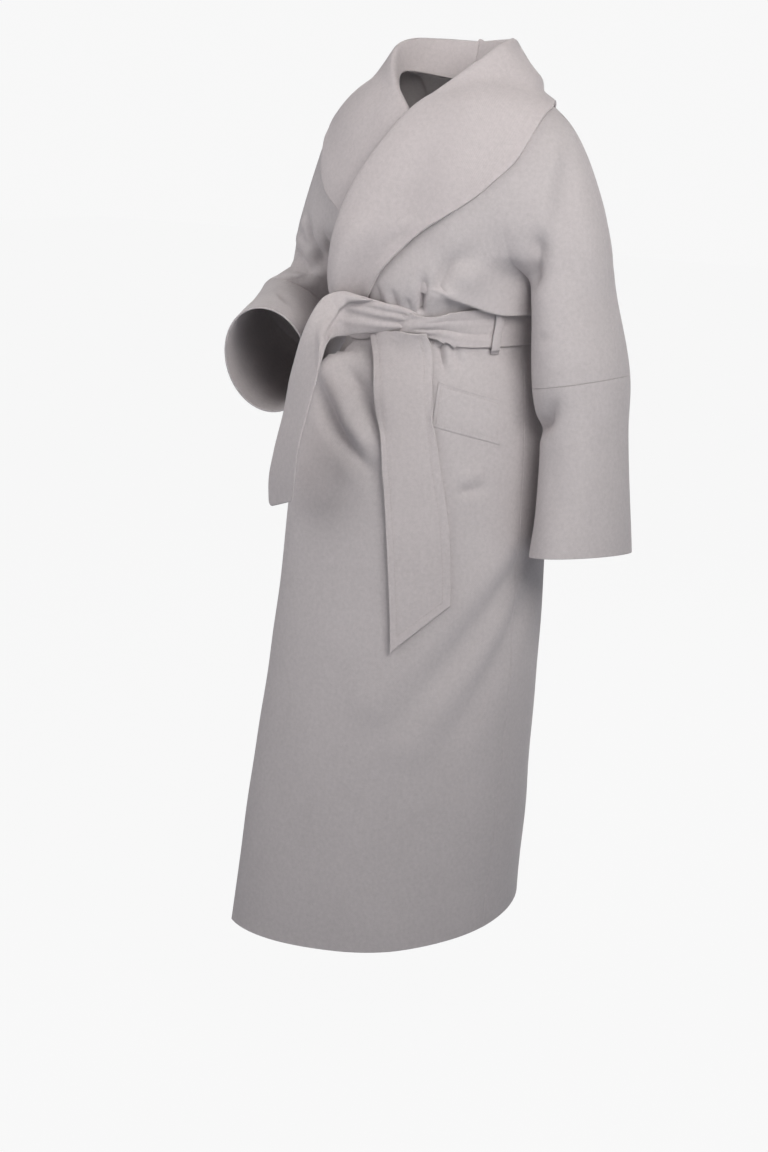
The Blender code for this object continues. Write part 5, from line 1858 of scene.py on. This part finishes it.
    def _long(self, surface: Surface) -> ClothNet:
        """The long tail, which lies on the skirt."""
        keys = np.arange(len(self.long_tail))
        along = np.linspace(0, len(keys) - 1, self.tail_rows + 1)
        names = [f.name for f in fields(LongTailSection)]
        z, rise, left, right = (follow(keys, column(self.long_tail, name), along) for name in names)
        grid = np.zeros((self.tail_rows + 1, self.tail_columns + 1, 3))
        for k in range(self.tail_columns + 1):
            share = k / self.tail_columns
            stand = self.tail_stand + self.tail_open * (1 - share) ** 2
            for i in range(self.tail_rows + 1):
                x = left[i] + (right[i] - left[i]) * share
                grid[i, k] = surface.from_front(x, z[i] + rise[i] * share, stand)
        for _ in range(40):
            flat = grid[:, :, 1].copy()
            middle = 0.5 * (flat[:-2] + flat[2:])
            grid[1:-1, :, 1] = np.minimum(flat[1:-1], middle)
        net = ClothNet("belt_tail_long")
        index = net.block(grid)
        net.weave(index)
        net.relax(np.full(len(net.points), 0.5), 4)
        net.points = surface.keep_clear(net.points, np.full(len(net.points), 0.5 * self.tail_stand))
        self.tail_line = stitch_path(index, self.hem_in, self.hem_in, True)
        line = tuple(map(tuple, net.points[self.tail_line]))
        net.crease((Crease(line, self.stitch_half, -self.stitch_deep, fade=(0.01, 0.01), widen=1.0),))
        return net

    def build(self, dresser: Dresser, panels: CoatPanels, welts: list[tuple[Array, Array]]) -> None:
        """Makes the belt and puts it on the frame.

        Args:
            dresser: Puts the pieces on.
            panels: What the belt lies on.
            welts: The outsides of the pocket welts, which the long tail also lies on.
        """
        band = self._band(panels)
        shell = ClothShell(band, self.wall, edge=self.band_rim)
        piece = dresser.put_on(shell.build(), ("belt_band",), Slot.BELT, BELT_FINISH)
        piece = dresser.put_on(self._end(), ("belt_knot", "belt_tail_short"), Slot.BELT, BELT_FINISH)
        lying = Surface([panels.outside("front_left"), shell.outside(), *welts])
        tail = self._long(lying)
        tail_shell = ClothShell(tail, self.wall, edge=self.tail_rim)
        piece = dresser.put_on(tail_shell.build(), ("belt_tail_long",), Slot.BELT, BELT_FINISH)
        line = self.tail_line
        row = StitchRow().build("stitch_tail_long", tail_shell.outside()[0][line], tail.normals()[line])
        dresser.sew_on(row, Slot.BELT)


@dataclass
class SideTrim:
    """The pocket welts and the belt loops on the fronts."""

    form: CoatForm
    gap: float = 0.0006
    belt_wall: float = 0.0034
    welt_from: float = 8.5 / 15
    welt_to: float = 13 / 15
    welt_front_z: float = -0.416
    welt_side_z: float = -0.444
    welt_deep: float = 0.060
    welt_rows: int = 26
    welt_wall: float = 0.0011
    welt_rim: float = 0.0008
    welt_sunk: float = 0.0014
    welt_in: int = 2
    welt_edge: float = 0.0007
    welt_keys: tuple[float, float] = (3.8, 6.6)
    stitch_half: float = 0.0022
    stitch_deep: float = 0.0007
    loop_share: tuple[float, float] = (11.5 / 15, 12.3 / 15)
    loop_half: float = 0.0060
    loop_keys: tuple[float, ...] = (2.56, 2.75, 3.00, 3.50, 3.92, 4.02, 4.12)
    loop_ends: int = 2
    loop_over: float = 0.0022
    loop_slack: float = 0.0004
    loop_sewn: float = 0.7
    loop_sunk: float = 0.0012
    loop_round: float = 0.0016
    loop_rows: int = 40
    loop_columns: int = 13
    lines: dict[str, Array] = field(default_factory=dict)

    def _welt(self, side: Side, panels: CoatPanels) -> ClothNet:
        """A slanted welt from the front's own points, moved out."""
        fine = np.linspace(*self.welt_keys, 160)
        rows = panels.outer_rows("front_" + side.value, fine)
        last = rows.shape[1] - 1
        columns = range(round(self.welt_from * last), round(self.welt_to * last) + 1)
        grid = np.zeros((self.welt_rows + 1, len(columns), 3))
        for n, j in enumerate(columns):
            share = n / (len(columns) - 1)
            top = self.welt_front_z + (self.welt_side_z - self.welt_front_z) * share
            wanted = top - self.welt_deep * np.linspace(0, 1, self.welt_rows + 1)
            for k in range(3):
                grid[:, n, k] = np.interp(-wanted, -rows[:, j, 2], rows[:, j, k])
        net = ClothNet("pocket_" + side.value)
        index = net.block(grid)
        net.weave(index, side is Side.RIGHT)
        stand = np.full(index.shape, self.gap)
        stand[:, [0, -1]] -= self.welt_sunk / 2
        stand[-1] = self.gap - self.welt_sunk
        net.points = net.points + net.normals() * stand.reshape(-1, 1)
        self.lines[net.name] = stitch_path(index, self.welt_in, self.welt_in, False)
        line = tuple(map(tuple, net.points[self.lines[net.name]]))
        rim = tuple(map(tuple, net.points[stitch_path(index, 0, 0, False)]))
        plain = {"fade": (0.01, 0.01), "widen": 1.0}
        sunk = Crease(line, self.stitch_half, -self.stitch_deep, **plain)
        net.crease((sunk, Crease(rim, self.stitch_half, self.welt_rim, **plain)))
        return net

    def _loop(self, side: Side, panels: CoatPanels) -> ClothNet:
        """A strip over the belt at one side; its lower end lies on the front."""
        keys = np.arange(len(self.loop_keys))
        along = np.linspace(0, len(keys) - 1, self.loop_rows)
        rows = panels.outer_rows("front_" + side.value, follow(keys, self.loop_keys, along))
        column_of = np.linspace(*self.loop_share, len(along)) * (rows.shape[1] - 1)
        low = column_of.astype(int)
        part = (column_of - low)[:, None]
        pick = np.arange(len(along))
        middle = rows[pick, low] * (1 - part) + rows[pick, low + 1] * part
        angle = np.arctan2(middle[:, 0], -middle[:, 1])
        outward = np.stack([np.sin(angle), -np.cos(angle), 0 * angle], axis=1)
        aside = np.stack([np.cos(angle), np.sin(angle), 0 * angle], axis=1)
        on_front = soft_step(along, len(keys) - self.loop_ends - 1.0, len(keys) - self.loop_ends)
        over_belt = self.gap * 2 + self.belt_wall + self.loop_over
        stand = over_belt * (1 - on_front) + self.gap * 1.6 * on_front + self.loop_slack
        sewn = soft_step(along, along[-1] - self.loop_sewn, along[-1])
        stand = stand * (1 - sewn) - self.loop_sunk * sewn
        share = np.linspace(-1, 1, self.loop_columns)
        high = stand[:, None] + self.loop_round * (1 - share**2)
        grid = middle[:, None] + outward[:, None] * high[..., None]
        grid = grid + aside[:, None] * (share * self.loop_half)[None, :, None]
        net = ClothNet("belt_loop_" + side.value)
        net.weave(net.block(grid))
        return net

    def build(self, dresser: Dresser, panels: CoatPanels) -> dict[str, ClothNet]:
        """Makes the welts and loops and puts them on the frame.

        Args:
            dresser: Puts the pieces on.
            panels: What they lie on.

        Returns:
            The welts' nets by name.
        """
        nets = {}
        for side in Side:
            welt = self._welt(side, panels)
            shell = ClothShell(welt, self.welt_wall, edge=self.welt_edge)
            piece = dresser.put_on(shell.build(), (welt.name,), Slot.COAT, COAT_FINISH)
            line = self.lines[welt.name]
            row = StitchRow().build("stitch_" + welt.name, shell.outside()[0][line], welt.normals()[line])
            dresser.sew_on(row, Slot.COAT)
            nets[welt.name] = welt
            loop = self._loop(side, panels)
            strip = ClothShell(loop, self.form.wall).build()
            piece = dresser.put_on(strip, (loop.name,), Slot.COAT, COAT_FINISH)
        return nets


# The studio


@dataclass(frozen=True)
class SoftBox:
    """A large soft lamp: where it stands, what it faces, its size, power and spread in degrees."""

    name: str
    place: tuple[float, float, float]
    target: tuple[float, float, float]
    size: tuple[float, float]
    power: float
    spread: float = 180.0
    colour: tuple[float, float, float] = (1.0, 1.0, 1.0)


@dataclass
class Studio:
    """A pale floor, soft light and the camera."""

    floor_z: float = -1.485
    floor_half: float = 14.0
    pale: float = 0.93
    azimuth: float = 35.0
    distance: float = 2.8
    camera_z: float = -0.03
    pitch: float = 14.2
    roll: float = 1.5
    aside: float = -0.0766
    focal_pixels: float = 1910.0
    image_height: float = 1152.0
    lamps: tuple[SoftBox, ...] = (
        SoftBox("key", (1.6, -1.0, 0.8), (0.05, -0.05, -0.2), (1.2, 1.2), 12.8, 110.0, (1.0, 0.98, 0.965)),
        SoftBox("left", (-1.2, -1.5, 0.8), (0, -0.05, -0.2), (2.4, 2.4), 13.4, 110.0, (1.0, 0.985, 0.985)),
        SoftBox("side", (2.2, -0.2, 0.5), (0.05, 0.0, -0.3), (1.2, 1.6), 5.0),
        SoftBox("low", (1.2, -2.2, -0.6), (0.03, -0.05, -0.4), (1.6, 1.2), 3.5, 180.0, (0.96, 0.985, 1.0)),
        SoftBox("back", (-0.4, 2.4, 1.0), (0.0, 0.0, -0.4), (2.0, 2.0), 30.0),
        SoftBox("top", (0.1, -0.5, 2.4), (0.0, 0.0, -0.3), (2.4, 2.4), 3.0),
    )

    def _floor(self) -> None:
        """The plain floor."""
        half, z = self.floor_half, self.floor_z
        corners = np.array([(-half, -half, z), (half, -half, z), (half, half, z), (-half, half, z)])
        floor = mesh_object("floor", corners, np.array([[0, 1, 2, 3]]))
        made = bpy.data.materials.new("pale_floor")
        made.use_nodes = True
        shader = made.node_tree.nodes["Principled BSDF"]
        glow = (self.pale, self.pale, self.pale, 1.0)
        set_values(shader, {"Base Color": (0.02, 0.02, 0.02, 1.0), "Specular IOR Level": 0.0})
        set_values(shader, {"Roughness": 1.0, "Emission Color": glow, "Emission Strength": 1.0})
        floor.data.materials.append(made)
        floor.visible_diffuse = False
        floor.visible_glossy = False

    def _world(self) -> None:
        """Even pale surroundings; their light comes from the sides and off the floor."""
        world = bpy.data.worlds.new("studio")
        bpy.context.scene.world = world
        world.use_nodes = True
        tree, links = world.node_tree, world.node_tree.links
        tree.nodes.clear()
        place = add_node(tree, "TexCoord")
        split = add_node(tree, "SeparateXYZ")
        links.new(place.outputs["Generated"], split.inputs["Vector"])
        ramp = add_node(tree, "MapRange")
        set_values(ramp, {"From Min": -0.3, "From Max": 0.35, "To Min": 0.44, "To Max": 0.0})
        links.new(split.outputs["Z"], ramp.inputs["Value"])
        dome = add_node(tree, "Background", Color=(0.93, 0.97, 1.05, 1.0))
        links.new(ramp.outputs["Result"], dome.inputs["Strength"])
        seen = add_node(tree, "Background", Color=(self.pale, self.pale, self.pale, 1.0), Strength=1.006)
        path = add_node(tree, "LightPath")
        mix = add_node(tree, "MixShader")
        links.new(path.outputs["Is Camera Ray"], mix.inputs["Fac"])
        links.new(dome.outputs["Background"], mix.inputs[1])
        links.new(seen.outputs["Background"], mix.inputs[2])
        end = add_node(tree, "OutputWorld")
        links.new(mix.outputs["Shader"], end.inputs["Surface"])

    def _lamps(self) -> None:
        """The soft boxes."""
        for lamp in self.lamps:
            light = bpy.data.lights.new(lamp.name, "AREA")
            light.shape = "RECTANGLE"
            light.size, light.size_y = lamp.size
            light.energy = lamp.power
            light.color = lamp.colour
            light.spread = math.radians(lamp.spread)
            made = bpy.data.objects.new(lamp.name, light)
            bpy.context.scene.collection.objects.link(made)
            made.location = lamp.place
            way = Vector(lamp.target) - Vector(lamp.place)
            made.rotation_euler = way.to_track_quat("-Z", "Y").to_euler()

    def _camera(self) -> None:
        """The camera at the photograph's viewing angle."""
        a, p, r = (math.radians(x) for x in (self.azimuth, self.pitch, self.roll))
        level = np.array((math.cos(a), math.sin(a), 0.0))
        inward = np.array((-math.sin(a), math.cos(a), 0.0))
        ahead = inward * math.cos(p) - np.array((0.0, 0.0, math.sin(p)))
        up = np.cross(level, ahead)
        right = level * math.cos(r) + up * math.sin(r)
        up = np.cross(right, ahead)
        place = level * self.aside - inward * self.distance + np.array((0.0, 0.0, self.camera_z))
        lens = bpy.data.cameras.new("camera")
        lens.sensor_width = 36.0
        lens.lens = self.focal_pixels * 36.0 / self.image_height
        lens.clip_end = 100.0
        made = bpy.data.objects.new("camera", lens)
        bpy.context.scene.collection.objects.link(made)
        turn = Matrix((right, up, -ahead)).transposed()
        made.matrix_world = Matrix.Translation(Vector(place)) @ turn.to_4x4()
        bpy.context.scene.camera = made

    def build(self) -> None:
        """Sets up the studio."""
        self._floor()
        self._world()
        self._lamps()
        self._camera()
        view = bpy.context.scene.view_settings
        view.view_transform = "Standard"
        view.look = "None"


def main() -> None:
    """Dresses the frame."""
    logging.basicConfig(level=logging.INFO, format="%(message)s")
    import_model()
    form = CoatForm()
    dresser = Dresser()
    panels = CoatPanels(form)
    panels.cut()
    sleeves = LowerSleeves(form)
    sleeves.cut()
    fold(panels.nets | sleeves.nets, form)
    panels.build(dresser)
    sleeves.build(dresser)
    ShawlCollar(form).build(dresser, panels)
    welts = SideTrim(form).build(dresser, panels)
    outsides = [ClothShell(net, form.wall).outside() for net in welts.values()]
    TieBelt().build(dresser, panels, outsides)
    Studio().build()


if __name__ == "__main__":
    main()
